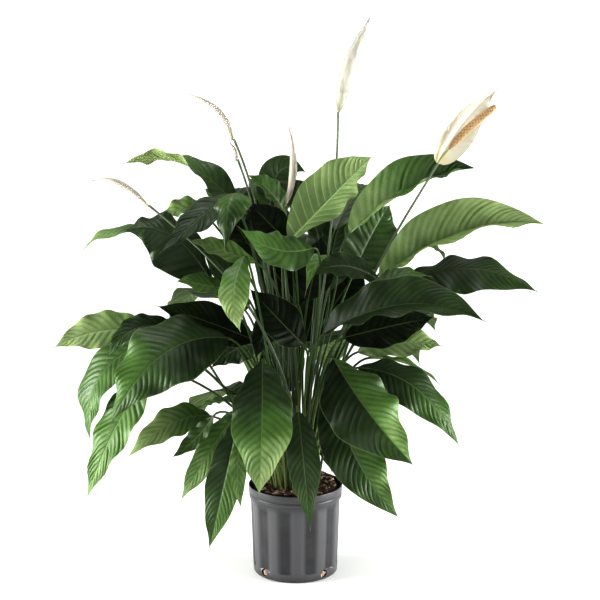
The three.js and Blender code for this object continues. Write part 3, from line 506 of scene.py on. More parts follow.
def blade_share(t):
    """A blade's width at t along it, as a share of its greatest."""
    return swell(np.clip(t, 0, 1)) / swell(WIDEST)


def across_blade(u, fold, curl):
    """Place on one half of a blade, u of the way out: sideways and up, and the lamina's slope."""
    start, turn = fold, np.where(abs(curl) < 1e-3, 1e-3, curl)
    end = start + turn * u
    return (np.sin(end) - np.sin(start)) / turn, (np.cos(start) - np.cos(end)) / turn, end


def carried_normals(tangents, face, start):
    """Normals of a curve, carried from one of its points along it without turning."""
    normals = np.empty_like(tangents)

    def flat(n, t):
        return unit(n - t * (n @ t))

    normals[start] = flat(np.array(face, dtype=float), tangents[start])
    for i in range(start + 1, len(tangents)):
        normals[i] = flat(normals[i - 1], tangents[i])
    for i in range(start - 1, -1, -1):
        normals[i] = flat(normals[i + 1], tangents[i])
    return normals


# Columns of one half of a blade, from the midrib out: the first few at fixed distances in mm,
# the rest at shares of the half's width.
NEAR_RIB = (0, 0.8, 1.7, 2.8)
SHARES = (0, 0.02, 0.04, 0.06, 0.1, 0.17, 0.26, 0.37, 0.49, 0.61, 0.73, 0.84, 0.93, 1)
HALF = len(SHARES) - 1
AROUND = 4 * HALF
PETIOLE_ROWS, TAIL_ROWS = 16, 5
LEAF_PARTS = (70, 2)
LEAF_ROWS = math.prod(LEAF_PARTS) + 1
BLADE_CREASE = 70  # degrees; sharper edges than this stay sharp
DENSE = 241  # steps at which normals are carried along a midrib
MIDRIB_STEPS = 30  # points that a midrib's length is measured along

MIDRIB_END = 0.5  # radius of a midrib at its blade's tip
TAIL_TAPER = 0.7  # how much thinner a drip tip is at its end
NARROWEST = 0.9  # the least half width of a blade, in midrib radii
SWEEP_POWER = 1.3  # how a side vein's sweep grows on its way out
FEWEST_VEINS = 7
FULLY_PLEATED = 75  # blades at least this wide are pleated to the full depth
SWELLING_POWER, SWELLING_MEAN = 0.8, 0.6  # of the rounded swellings between side veins
UNEVEN, UNEVEN_BEAT = 0.35, 1.7  # how much the swellings differ, and how fast along a blade
WAVES = (2.6, 4.2)  # fewest and most waves along a margin
WAVE_POWER = 2.2  # how waves grow on their way out
GROOVE_DEPTH, GROOVE_WIDTH = 0.5, 1.3  # of the channel over a midrib
PAINTED_LIGHT_FADE = 2  # mm either side of the midrib over which the right half's painted light fades in


def columns():
    """Each column's step out from the midrib, its side (-1 or 1) and its face (1 above, -1 below)."""
    k = np.arange(AROUND)
    above = k <= 2 * HALF
    signed = np.where(above, k - HALF, 3 * HALF - k)
    step = abs(signed)
    face = np.where(step == HALF, 0, np.where(above, 1, -1))
    return step, np.sign(signed), face


def tone_of(name, values):
    """How light a leaf is painted at each place on it, painted sheen and shade included."""
    tone = TONES.get(name, USUAL_TONE)
    # the lighter half is painted light from one side; the tip's tone holds painted sheen and shade as well
    # as age
    right = smoothstep(-PAINTED_LIGHT_FADE, PAINTED_LIGHT_FADE, -values["across_mm"])
    tipward = smoothstep(0.1, 0.9, values["along"])
    return tone.base + (tone.tip - tone.base) * tipward + tone.right * right


def stand_of(node, curve_from):
    """Where a stalk's solid stands: the middle of its lowest ring, and its uprightness."""
    corners = np.unique(np.round(vertices_of(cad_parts[node].data) / MM, 3), axis=0)
    over_compost = corners[np.hypot(corners[:, 0], corners[:, 1]) < STEMS_WITHIN]
    lowest = over_compost[over_compost[:, 2] < over_compost[:, 2].min() + 6]
    foot = lowest.mean(axis=0)

    def misfit(upright):
        """How far a curve this upright passes from the ring of corners a quarter of the way up."""
        middle = curve_from(foot, upright).at(0.25)
        return np.sort(np.linalg.norm(corners - middle, axis=1))[:8].sum()

    return foot, min(UPRIGHTS, key=misfit)


def shoot_stand(stub, base):
    """Where a petiole stands on its shoot's stub: on the side that its blade is on."""
    side = np.array(base[:2], dtype=float) - stub
    foot = stub + unit(side) * (SHOOT_RADIUS - PETIOLE_ROOT - SHOOT_EDGE)
    return np.array((*foot, SHOOT_FOOT)), SHOOT_UPRIGHT


def spine(leaf, midrib, t, tail_share, stand, foot_radius):
    """A leaf's middle line at each place on it: points, up, sideways and the radius there."""
    dense_t = np.linspace(0, 1 + tail_share, DENSE)
    dense_along = unit(midrib.along(dense_t))
    dense_up = carried_normals(dense_along, leaf.face, int(np.argmin(abs(dense_t - 0.5))))
    along = unit(midrib.along(t))
    up = np.stack([np.interp(t, dense_t, dense_up[:, i]) for i in range(3)], axis=-1)
    points = midrib.at(t)
    stem = PETIOLE_TOP if stand else foot_radius
    radius = stem + (MIDRIB_END - stem) * np.clip(t, 0, 1)
    radius = radius * (1 - TAIL_TAPER * np.clip((t - 1) / tail_share, 0, 1))
    if stand:
        petiole = petiole_of(*stand, midrib)
        rise = np.arange(PETIOLE_ROWS) / PETIOLE_ROWS
        tangents = unit(petiole.along(rise))
        joined_on = np.vstack((tangents, dense_along[:1]))
        carried = carried_normals(joined_on, dense_up[0], PETIOLE_ROWS)
        points[:PETIOLE_ROWS] = petiole.at(rise)[:, None]
        along[:PETIOLE_ROWS] = tangents[:, None]
        up[:PETIOLE_ROWS] = carried[:PETIOLE_ROWS, None]
        radius[:PETIOLE_ROWS] = (foot_radius + (PETIOLE_TOP - foot_radius) * rise)[:, None]
    up = unit(up - along * (up * along).sum(axis=-1, keepdims=True))
    sideways = np.cross(along, up)
    turn = (math.radians(leaf.twist) * (np.clip(t, 0, 1) - 0.5))[..., None]
    turned_up = up * np.cos(turn) + sideways * np.sin(turn)
    return points, turned_up, sideways * np.cos(turn) - up * np.sin(turn), radius


def swellings(phase, veins, u):
    """Height of a blade between its side veins, as a share of the pleats' depth."""
    rounded = abs(np.sin(math.pi * phase)) ** SWELLING_POWER - SWELLING_MEAN
    uneven = 0.75 + UNEVEN * np.sin(UNEVEN_BEAT * phase + veins)
    inner = smoothstep(0.02, 0.2, u) * (1 - 0.6 * smoothstep(0.75, 1, u))
    return rounded * uneven * inner


def margin_waves(random, t, u, side):
    """Height of a blade's wavy margins, as a share of its waves' greatest."""
    shift = random.uniform(0, 1, 2)
    beat = random.uniform(*WAVES)
    unsteady = 1.2 * np.sin(5 * t + shift[0] * 6)
    ripple = np.sin(2 * math.pi * (beat * t + np.where(side > 0, *shift)) + unsteady)
    return u ** WAVE_POWER * ripple


def blade_places(name, leaf, looks, stand=None, foot_radius=PETIOLE_ROOT, pleat=1.0, wave=1.0,
                 tail=1.0, early=1.0):
    """Places and surface values of a blade, with the petiole that it grows from if it has one."""
    random = np.random.default_rng(zlib.crc32(name.encode()))
    midrib = midrib_of(leaf.base, leaf.middle, leaf.tip)
    span = midrib.length(MIDRIB_STEPS)
    tail_share = tail * looks.tail / MM * random.uniform(0.6, 1.4) / span
    stem_rows = PETIOLE_ROWS if stand else 0
    # s is 0 at the blade's base and 1 at its tip; t is s, swept forwards towards the margins
    s = np.concatenate((
        np.zeros(stem_rows), np.linspace(0, 1, LEAF_ROWS - stem_rows - TAIL_ROWS),
        1 + tail_share * np.arange(1, TAIL_ROWS + 1) / TAIL_ROWS))[:, None]
    step, side, face = (a[None, :] for a in columns())
    share_out = np.array(SHARES)[step]
    t = s + looks.sweep * share_out ** SWEEP_POWER * 4 * s * np.clip(1 - s, 0, 1)
    points, up, sideways, rib = spine(leaf, midrib, t, tail_share, stand, foot_radius)

    half = leaf.width / 2 * blade_share(np.clip(t, 0, 1) ** early)
    half = np.maximum(half, rib * NARROWEST)
    half[:stem_rows] = rib[:stem_rows]
    openness = np.clip((half - rib) / rib, 0, 1)
    opened = smoothstep(0, 1, openness)
    near = len(NEAR_RIB)
    close = np.minimum(np.array(NEAR_RIB)[np.minimum(step, near - 1)], half * SHARES[near] * step / near)
    out = np.where(step < near, close, share_out * half)
    u = out / half
    fold = math.radians(leaf.fold) * openness
    curl = math.radians(leaf.curl) * openness
    across, lifted, slope = across_blade(u, fold, curl)

    body = smoothstep(0, 0.14, t) * (1 - smoothstep(0.8, 0.98, t))
    veins = max(FEWEST_VEINS, round(span * MM / looks.pitch))
    phase = veins * s + 0.5 * (side > 0) + random.uniform(0, 1)
    depth = pleat * looks.pleat / MM * min(1, leaf.width / FULLY_PLEATED)
    height = wave * looks.wave * leaf.width
    relief = depth * swellings(phase, veins, u) + height * margin_waves(random, t, u, side)
    relief -= GROOVE_DEPTH * np.exp(-(out / GROOVE_WIDTH) ** 2) * (face > 0)
    keel = -np.sqrt(np.clip(rib ** 2 - out ** 2, 0, None)) * (face < 0)
    offset = looks.thickness / MM / 2 * face + relief * body + keel
    x = side * (across * half - np.sin(slope) * offset)
    z = lifted * half + np.cos(slope) * offset
    # where it isn't open yet, a blade is round like its petiole
    quarter = math.pi / 2 * step / HALF
    x = x * opened + side * rib * np.sin(quarter) * (1 - opened)
    z = z * opened + face * rib * np.cos(quarter) * (1 - opened)
    places = points + sideways * x[..., None] + up * z[..., None]
    place_along = t.copy()
    place_along[:stem_rows] = np.linspace(-1, 0, stem_rows, endpoint=False)[:, None]
    values = dict(
        across_mm=side * out, along=place_along, vein=phase, upper=(face + 1) / 2,
        stem=1 - opened, edge=u)
    return places, values


# ------------------------------------------------------------------ materials

# Settings that many nodes share.
TIMES, PLUS, MINUS = ({"operation": name} for name in ("MULTIPLY", "ADD", "SUBTRACT"))
TIMES_PLUS, SIZE, MOST = ({"operation": name} for name in ("MULTIPLY_ADD", "ABSOLUTE", "MAXIMUM"))
SOFT = {"interpolation_type": "SMOOTHSTEP"}
COLOURS = {"data_type": "RGBA", "out": 2}


def add(tree, kind, *values, out=0, stops=(), **settings):
    """Adds a node. Values fill its sockets in turn, or by name if they are one dictionary.

    Gives the output that out says. stops are the places and colours of a colour ramp.
    """
    node = tree.nodes.new(f"ShaderNode{kind}")
    for key, value in settings.items():
        setattr(node, key, value)
    sockets = values[0] if values and isinstance(values[0], dict) else dict(enumerate(values))
    for key, value in sockets.items():
        if isinstance(value, bpy.types.NodeSocket):
            tree.links.new(value, node.inputs[key])
        else:
            node.inputs[key].default_value = value
    for i, (place, shade) in enumerate(stops):
        points = node.color_ramp.elements
        point = points[i] if i < len(points) else points.new(1.0)
        point.position, point.color = place, shade
    return node.outputs[out] if node.outputs else node


def new_material(name):
    """A material, and the function that adds nodes to it."""
    material = bpy.data.materials.new(name)
    material.use_nodes = True
    material.node_tree.nodes.clear()
    return material, partial(add, material.node_tree)


def leaf_tissue(looks):
    """Fresh leaf: waxy above, with impressed veins; paler and matt below."""
    material, node = new_material("fresh_leaf")
    vein, along, across, upper, stem, tone, edge = (
        node("Attribute", attribute_name=name, out="Fac")
        for name in ("vein", "along", "across_mm", "upper", "stem", "tone", "edge"))
    # side veins lie where vein is a whole number; fine ones run between them, 6 to a pleat
    off_vein = node("Math", node("Math", vein, 0.5, **PLUS), operation="FRACT")
    off_vein = node("Math", node("Math", off_vein, 0.5, **MINUS), **SIZE)
    on_vein = node("MapRange", off_vein, 0, 0.11, 1, 0, **SOFT)
    fine = node("Math", node("Math", vein, 12, **TIMES), 1, operation="PINGPONG")
    # the midrib's pale line, 3 mm wide, fades out towards the tip
    rib = node("MapRange", node("Math", across, **SIZE), 0.4, 1.5, 1, 0, **SOFT)
    rib = node("Math", rib, node("MapRange", along, 0.55, 0.9, 1, 0, **SOFT), **TIMES)
    # a leaf's uneven green, in patches of 36 mm, and its pores, drawn 4 mm wide so that they show
    place = node("TexCoord", out="Object")
    patches = node("TexNoise", {"Vector": place, "Scale": 28, "Detail": 3})
    specks = node("TexNoise", {"Vector": place, "Scale": 260, "Detail": 4, "Roughness": 0.6})
    mottled = node("Math", node("Math", patches, 0.5, **MINUS), 0.34, tone, **TIMES_PLUS)
    mottled = node("Math", node("Math", specks, 0.5, **MINUS), 0.12, mottled, **TIMES_PLUS)
    # painted shade along the side veins and painted highlight on the swellings between them, over the upper
    # face's tone
    veined = node("Math", on_vein, -0.05, mottled, **TIMES_PLUS)
    veined = node("Math", node("MapRange", off_vein, 0.1, 0.5, **SOFT), 0.06, veined, **TIMES_PLUS)
    top = node("ValToRGB", veined, stops=(
        (0, looks.darkest), (0.3, looks.deep), (0.6, looks.fresh), (1, looks.lime)))
    pale_rib = node("Math", rib, 0.22, **TIMES)
    top = node("Mix", {0: pale_rib, 6: top, 7: looks.under_pale}, **COLOURS)
    paleness = node("Math", on_vein, 0.25, mottled, **TIMES_PLUS)
    paleness = node("MapRange", paleness, 0.2, 1, **SOFT)
    below = node("Mix", {0: paleness, 6: looks.under_deep, 7: looks.under_pale}, **COLOURS)
    keel = node("Math", rib, 0.7, **TIMES)
    below = node("Mix", {0: keel, 6: below, 7: looks.under_pale}, **COLOURS)
    is_top = node("MapRange", upper, 0.3, 0.7, **SOFT)
    blade = node("Mix", {0: is_top, 6: below, 7: top}, **COLOURS)
    # a pale hairline along the margin, and a dry drip tip
    margin = node("MapRange", edge, 0.965, 1, **SOFT)
    margin = node("Math", margin, node("MapRange", along, 0.8, 0.95, 0.3, 0, **SOFT), **TIMES)
    blade = node("Mix", {0: margin, 6: blade, 7: looks.under_pale}, **COLOURS)
    withered = node("MapRange", along, 0.985, 1.02, **SOFT)
    blade = node("Mix", {0: withered, 6: blade, 7: looks.dry}, **COLOURS)
    # petioles are pale near the compost and darken from 0.18 to 0.4 m up, painted shade where they run
    # under the leaves; they are speckled
    raised = node("MapRange", node("SeparateXYZ", place, out="Z"), 0.18, 0.4, **SOFT)
    petiole = node("Mix", {0: raised, 6: looks.root, 7: looks.stem}, **COLOURS)
    speckled = node("MapRange", specks, 0.5, 0.75, 0, 0.5, **SOFT)
    petiole = node("Mix", {0: speckled, 6: petiole, 7: looks.deep}, **COLOURS)
    is_stem = node("Math", stem, node("MapRange", along, 0.3, 0.6, 1, 0, **SOFT), **TIMES)
    base = node("Mix", {0: is_stem, 6: blade, 7: petiole}, **COLOURS)
    # wax makes the upper face smoother, and the darkest-toned leaves, old ones and those painted as
    # shade, have least of it, so no sheen shows in the painted shade
    rough = node("Math", patches, 0.16, node("MapRange", is_top, 0, 1, 0.6, 0.3), **TIMES_PLUS)
    gloss = node("MapRange", tone, 0, 0.3, 0.08, 0.32, **SOFT)
    relief = node("Math", fine, 0.5, node("Math", specks, 0.7, **TIMES), **TIMES_PLUS)
    bump = node("Bump", {"Strength": 0.6, "Distance": 0.28 * MM, "Height": relief})
    shader = node("BsdfPrincipled", {
        "Base Color": base, "Roughness": rough, "Normal": bump, "Specular IOR Level": gloss})
    node("OutputMaterial", {"Surface": shader})
    return material


def stalk_tissue(looks):
    """Flower stalk: smooth and dark low down, paler with dark specks at the top."""
    material, node = new_material("flower_stalk")
    along = node("Attribute", attribute_name="along", out="Fac")
    # specks 3 mm wide
    specks = node("TexNoise", {
        "Vector": node("TexCoord", out="Object"), "Scale": 300, "Detail": 4, "Roughness": 0.6})
    rise = node("MapRange", along, 0.35, 0.85, **SOFT)
    base = node("Mix", {0: rise, 6: looks.stalk_foot, 7: looks.stalk}, **COLOURS)
    speckled = node("MapRange", specks, 0.52, 0.72, 0, 0.5, **SOFT)
    base = node("Mix", {0: speckled, 6: base, 7: looks.stalk_foot}, **COLOURS)
    bump = node("Bump", {"Strength": 0.4, "Distance": 0.3 * MM, "Height": specks})
    shader = node("BsdfPrincipled", {"Base Color": base, "Roughness": 0.42, "Normal": bump})
    node("OutputMaterial", {"Surface": shader})
    return material


def spathe_tissue(looks):
    """Spathe: a soft, waxy, near-white bract with fine veins; young ones blush and are greener."""
    material, node = new_material("spathe")
    vein, along, across, youth = (
        node("Attribute", attribute_name=name, out="Fac")
        for name in ("vein", "along", "across_mm", "tone"))
    fine = node("Math", node("Math", vein, 4, **TIMES), 1, operation="PINGPONG")
    # the blush comes in patches of 17 mm
    patches = node("TexNoise", {"Vector": node("TexCoord", out="Object"), "Scale": 60, "Detail": 3})
    blush = node("MapRange", patches, 0.3, 0.7, 0.5, 1, **SOFT)
    blush = node("Math", youth, blush, **TIMES)
    base = node("Mix", {0: blush, 6: looks.spathe, 7: looks.spathe_blush}, **COLOURS)
    # both ends and the back rib, 3 mm wide, stay greenish
    rib = node("MapRange", node("Math", across, **SIZE), 0.3, 1.6, 1, 0, **SOFT)
    foot = node("MapRange", along, 0.22, 0, **SOFT)
    ends = node("Math", foot, node("MapRange", along, 0.9, 1.02, **SOFT), **MOST)
    green = node("Math", ends, node("Math", rib, 0.45, **TIMES), **MOST)
    green = node("Math", green, 0.5, **TIMES)
    base = node("Mix", {0: green, 6: base, 7: looks.spathe_green}, **COLOURS)
    veined = node("Math", fine, 0.12, **TIMES)
    base = node("Mix", {0: veined, 6: base, 7: looks.spathe_green}, **COLOURS)
    tail = node("MapRange", along, 0.93, 1, **SOFT)
    base = node("Mix", {0: tail, 6: base, 7: looks.spathe_tail}, **COLOURS)
    bump = node("Bump", {"Strength": 0.5, "Distance": 0.3 * MM, "Height": fine})
    shader = node("BsdfPrincipled", {
        "Base Color": base, "Roughness": 0.5, "Normal": bump, "Subsurface Weight": 0.25,
        "Subsurface Radius": (4 * MM, 3 * MM, 2 * MM), "Subsurface Scale": 1})
    node("OutputMaterial", {"Surface": shader})
    return material


def spadix_tissue(looks):
    """Spadix: packed small flowers, tan on top of each and brown between them, on a pale stipe."""
    material, node = new_material("spadix")
    raised, bare, youth = (
        node("Attribute", attribute_name=name, out="Fac") for name in ("raised", "bare", "tone"))
    # grains of pollen, drawn 2.5 mm wide so that they show
    grains = node("TexNoise", {"Vector": node("TexCoord", out="Object"), "Scale": 400, "Detail": 3})
    top = node("Mix", {0: youth, 6: looks.spadix, 7: looks.spadix_young}, **COLOURS)
    filled = node("Math", youth, 0.6, **TIMES)
    hollow = node("Mix", {0: filled, 6: looks.spadix_dark, 7: looks.spadix_young}, **COLOURS)
    height = node("Math", grains, 0.4, raised, **TIMES_PLUS)
    height = node("MapRange", height, 0.5, 1.1, **SOFT)
    base = node("Mix", {0: height, 6: hollow, 7: top}, **COLOURS)
    base = node("Mix", {0: bare, 6: base, 7: looks.spathe_green}, **COLOURS)
    bump = node("Bump", {"Strength": 0.5, "Distance": 0.3 * MM, "Height": grains})
    shader = node("BsdfPrincipled", {"Base Color": base, "Roughness": 0.68, "Normal": bump})
    node("OutputMaterial", {"Surface": shader})
    return material


def moulded_polypropylene(looks):
    """Nursery pot: thin injection-moulded PP, satin, with a faint orange peel, dust, painted highlight
    on the ribs and painted shade in the grooves.
    """
    material, node = new_material("moulded_polypropylene")
    groove = node("Attribute", attribute_name="groove", out="Fac")
    # the moulding's grain, drawn 3 mm wide so that it shows, and dust in patches of 30 mm
    place = node("TexCoord", out="Object")
    peel = node("TexNoise", {"Vector": place, "Scale": 300, "Detail": 2})
    dust = node("TexNoise", {"Vector": place, "Scale": 35, "Detail": 5, "Roughness": 0.6})
    # painted highlight on the ridges and painted shade in the grooves
    base = node("Mix", {0: groove, 6: looks.ridge_highlight_and_dust, 7: looks.plastic}, **COLOURS)
    dusty = node("MapRange", dust, 0.35, 0.8, 0, 0.25, **SOFT)
    base = node("Mix", {0: dusty, 6: base, 7: looks.ridge_highlight_and_dust}, **COLOURS)
    rough = node("Math", dust, 0.14, 0.3, **TIMES_PLUS)
    bump = node("Bump", {"Strength": 0.15, "Distance": 0.2 * MM, "Height": peel})
    shader = node("BsdfPrincipled", {"Base Color": base, "Roughness": rough, "Normal": bump})
    node("OutputMaterial", {"Surface": shader})
    return material


def bark_compost(looks):
    """Composted bark: reddish-brown chips with paler broken faces, over dark peat."""
    material, node = new_material("bark_compost")
    tone = node("Attribute", attribute_name="tone", out="Fac")
    # bark fibres, 1.4 mm wide
    fibre = node("TexNoise", {
        "Vector": node("TexCoord", out="Object"), "Scale": 700, "Detail": 5, "Roughness": 0.65})
    mixed = node("Math", fibre, 0.5, node("Math", tone, 0.25, **MINUS), **TIMES_PLUS)
    base = node("ValToRGB", mixed, stops=(
        (0, looks.bark_dark), (0.5, looks.bark), (1, looks.bark_pale)))
    bump = node("Bump", {"Strength": 0.8, "Distance": 0.8 * MM, "Height": fibre})
    shader = node("BsdfPrincipled", {"Base Color": base, "Roughness": 0.85, "Normal": bump})
    node("OutputMaterial", {"Surface": shader})
    return material


def pale_floor(looks):
    """White acrylic light table, lit from beneath away from the plant."""
    material, node = new_material("pale_floor")
    place = node("TexCoord", out="Object")
    # smears of 17 mm
    smears = node("TexNoise", {"Vector": place, "Scale": 60, "Detail": 3})
    rough = node("Math", smears, 0.1, 0.8, **TIMES_PLUS)
    reach = node("VectorMath", place, operation="LENGTH", out="Value")
    glow = node("Math", node("MapRange", reach, 0.8, 4, **SOFT), looks.glow, **TIMES)
    shader = node("BsdfPrincipled", {
        "Base Color": looks.floor, "Roughness": rough, "Emission Color": looks.floor,
        "Emission Strength": glow})
    node("OutputMaterial", {"Surface": shader})
    return material


# ------------------------------------------------------------------ operators

# A lamp: where it stands, what it is aimed at, its size in metres and its spread in degrees.
Lamp = namedtuple("Lamp", "place aim size spread", defaults=((0, 0, 0.45), 1, 180))


class PEACELILY_OT_stage(bpy.types.Operator):
    """Adds the floor, the surroundings, the lights and the camera"""
    bl_idname = "peacelily.stage"
    bl_label = "Stage"

    FLOOR = 120  # metres, past all that the camera sees
    LENS = 106.3
    CAMERA = (0.008, -3.0, 1.1)
    LOOKS_DOWN = 11.5  # degrees
    LAMPS = {
        "overhead": Lamp((-0.4, 0.2, 2.7)),
        "left": Lamp((-1.85, -0.3, 0.6)),
        "right": Lamp((1.85, -0.3, 0.55)),
        "low": Lamp((0, -2.6, 0.25)),
        "blooms": Lamp((0.1, -2.6, 1.6), (0.1, 0, 0.97), 0.5, 14),
    }

    def execute(self, context):
        looks = context.scene.lily_stage
        deselect_all()
        bpy.ops.mesh.primitive_plane_add(size=self.FLOOR)
        floor = context.object
        floor.name = "floor"
        floor.data.materials.append(pale_floor(looks))
        self.surroundings(context, looks)
        for name, lamp in self.LAMPS.items():
            light = bpy.data.lights.new(name, "AREA")
            light.energy = getattr(looks, name)
            light.size = lamp.size
            light.spread = math.radians(lamp.spread)
            stand = bpy.data.objects.new(name, light)
            stand.location = lamp.place
            towards = Vector(lamp.aim) - Vector(lamp.place)
            stand.rotation_euler = towards.to_track_quat("-Z", "Y").to_euler()
            context.collection.objects.link(stand)
        lens = bpy.data.cameras.new("camera")
        lens.lens = self.LENS
        camera = bpy.data.objects.new("camera", lens)
        camera.location = self.CAMERA
        camera.rotation_euler = Euler((math.radians(90 - self.LOOKS_DOWN), 0, 0))
        context.collection.objects.link(camera)
        context.scene.camera = camera
        context.scene.view_settings.view_transform = "Standard"
        context.scene.view_settings.gamma = looks.gamma
        return {"FINISHED"}

    def surroundings(self, context, looks):
        """A light tent: dim in front, soft light above and at the sides, and less behind."""
        world = bpy.data.worlds.new("surroundings")
        context.scene.world = world
        world.use_nodes = True
        node = partial(add, world.node_tree)
        towards = node("TexCoord", out="Generated")
        x, y, z = (node("SeparateXYZ", towards, out=axis) for axis in "XYZ")
        above = node("Math", node("MapRange", z, 0.15, 0.85, **SOFT), looks.above, **TIMES)
        sides = node("MapRange", node("Math", x, **SIZE), 0.55, 0.95, **SOFT)
        beside = node("Math", sides, looks.beside, **TIMES)
        behind = node("Math", node("MapRange", y, 0.2, 0.9, **SOFT), looks.behind, **TIMES)
        light = node("Math", node("Math", above, beside, **PLUS), behind, **PLUS)
        background = world.node_tree.nodes["Background"]
        background.inputs["Color"].default_value = (1, 1, 1, 1)
        light = node("Math", light, looks.front, **PLUS)
        world.node_tree.links.new(light, background.inputs["Strength"])


def fillet(corners, steps=4):
    """An outline with each corner rounded off. corners are (radius, height, rounding)."""
    outline = []
    for i, (r, z, rounding) in enumerate(corners):
        here = np.array((r, z), dtype=float)
        if not rounding or i in (0, len(corners) - 1):
            outline.append(here)
            continue
        before, after = (np.array(corners[j][:2], dtype=float) - here for j in (i - 1, i + 1))
        start, end = here + unit(before) * rounding, here + unit(after) * rounding
        for k in range(steps + 1):
            q = k / steps
            outline.append((1 - q) ** 2 * start + 2 * q * (1 - q) * here + q * q * end)
    return outline


def turned(radius, height, angle):
    """Places on a round piece, from the radius and height of its rows and the angles round it."""
    return np.stack((radius * np.cos(angle), radius * np.sin(angle), height + 0 * angle), axis=-1)


def angles_round(around):
    return np.arange(around) / around * 2 * math.pi


class PEACELILY_OT_pot(bpy.types.Operator):
    """Models the fluted nursery pot with its double rim and drain holes"""
    bl_idname = "peacelily.pot"
    bl_label = "Nursery Pot"

    # The wall's section, from the underside's middle, over the rim, to the floor's middle.
    CORNERS = (
        (0.5, 1.2, 0), (60, 1.2, 1), (63, 0, 1), (73.9, 0, 6), (75, 17, 2), (79.3, 136.2, 1),
        (81.6, 137.5, 0.8), (81.9, 144.6, 0.8), (80.9, 145.8, 0.5), (81.2, 147, 0.5),
        (82.5, 148, 0.8), (82.5, 160, 1), (80.9, 160, 0.6), (80.4, 149, 1), (78, 137, 1),
        (73.4, 17, 2), (72.2, 1.9, 4), (0.5, 1.9, 0),
    )
    LONGEST_STEP = 9
    SIDES_A_FLUTE = 24
    FLUTES_FADE_IN, FLUTES_FADE_OUT = (14, 18), (129, 135)  # heights
    FLUTE_SIDE = 0.8  # how gently a flute's sides slope
    FLOOR_RADIUS = 60
    UNFLUTED = 0.5  # shade painted on the plain bands, between a ridge's (0) and a groove's (1)
    DRAIN_ANGLES = (-47, 42, 132, 222)  # degrees round from the front
    DRAIN_HEIGHT, DRAIN_REACH, DRAIN_DEPTH = 12, 74, 14

    def outline(self):
        points = fillet(self.CORNERS)
        outline = []
        for a, b in zip(points, points[1:]):
            steps = max(1, int(np.linalg.norm(b - a) / self.LONGEST_STEP))
            outline += [a + (b - a) * i / steps for i in range(steps)]
        return np.array([*outline, points[-1]])

    def execute(self, context):
        looks = context.scene.lily_pot
        outline = self.outline()
        blank = bar_blank(looks.flutes * self.SIDES_A_FLUTE, *split_count(len(outline) - 1))
        outline = resample(outline, blank.rows)
        radius, height = outline[:, :1], outline[:, 1:]
        angle = angles_round(blank.around)[None, :]
        flute = (angle + math.pi / 2 - looks.flute_turn) * looks.flutes
        groove = 1 - smoothstep(-self.FLUTE_SIDE, self.FLUTE_SIDE, np.cos(flute))
        band = smoothstep(*self.FLUTES_FADE_IN, height) * (1 - smoothstep(*self.FLUTES_FADE_OUT, height))
        band = band * (radius > self.FLOOR_RADIUS)
        radius = radius - groove * band * looks.flute_depth / MM
        # painted shade for the pot's colour: full in a groove, none on a ridge, UNFLUTED on the plain bands
        shade = np.where(band > 0, groove * band, self.UNFLUTED)
        pot = shaped(blank, "pot", turned(radius, height, angle), groove=shade)
        drop(blank)
        self.drain(context, pot, looks.drain_radius)
        smooth(pot, 32)
        finish_piece(pot, moulded_polypropylene(looks), "pot", "nursery_pot")
        return {"FINISHED"}

    def drain(self, context, pot, radius):
        """Cuts the drain holes at the foot of the wall."""
        for degrees in self.DRAIN_ANGLES:
            angle = math.radians(degrees - 90)
            place = Vector((math.cos(angle), math.sin(angle), 0)) * self.DRAIN_REACH * MM
            place.z = self.DRAIN_HEIGHT * MM
            deselect_all()
            bpy.ops.mesh.primitive_cylinder_add(
                vertices=40, radius=radius, depth=self.DRAIN_DEPTH * MM, location=place,
                rotation=(math.pi / 2, 0, angle + math.pi / 2))
            drill = context.object
            cut = pot.modifiers.new("drain", "BOOLEAN")
            cut.operation = "DIFFERENCE"
            cut.object = drill
            context.view_layer.objects.active = pot
            bpy.ops.object.modifier_apply(modifier=cut.name)
            bpy.data.objects.remove(drill, do_unlink=True)


def split_count(rows):
    """Two numbers of parts, each of at most 100, that give at least this many rows."""
    first = math.ceil(rows / 100)
    return (first, math.ceil(rows / first)) if first > 1 else (rows,)


def resample(outline, points):
    """The same outline with this many points: the extra ones split its last length."""
    extra = points - len(outline)
    if not extra:
        return outline
    a, b = outline[-2], outline[-1]
    more = [a + (b - a) * i / (extra + 1) for i in range(1, extra + 1)]
    return np.vstack((outline[:-1], more, outline[-1:]))


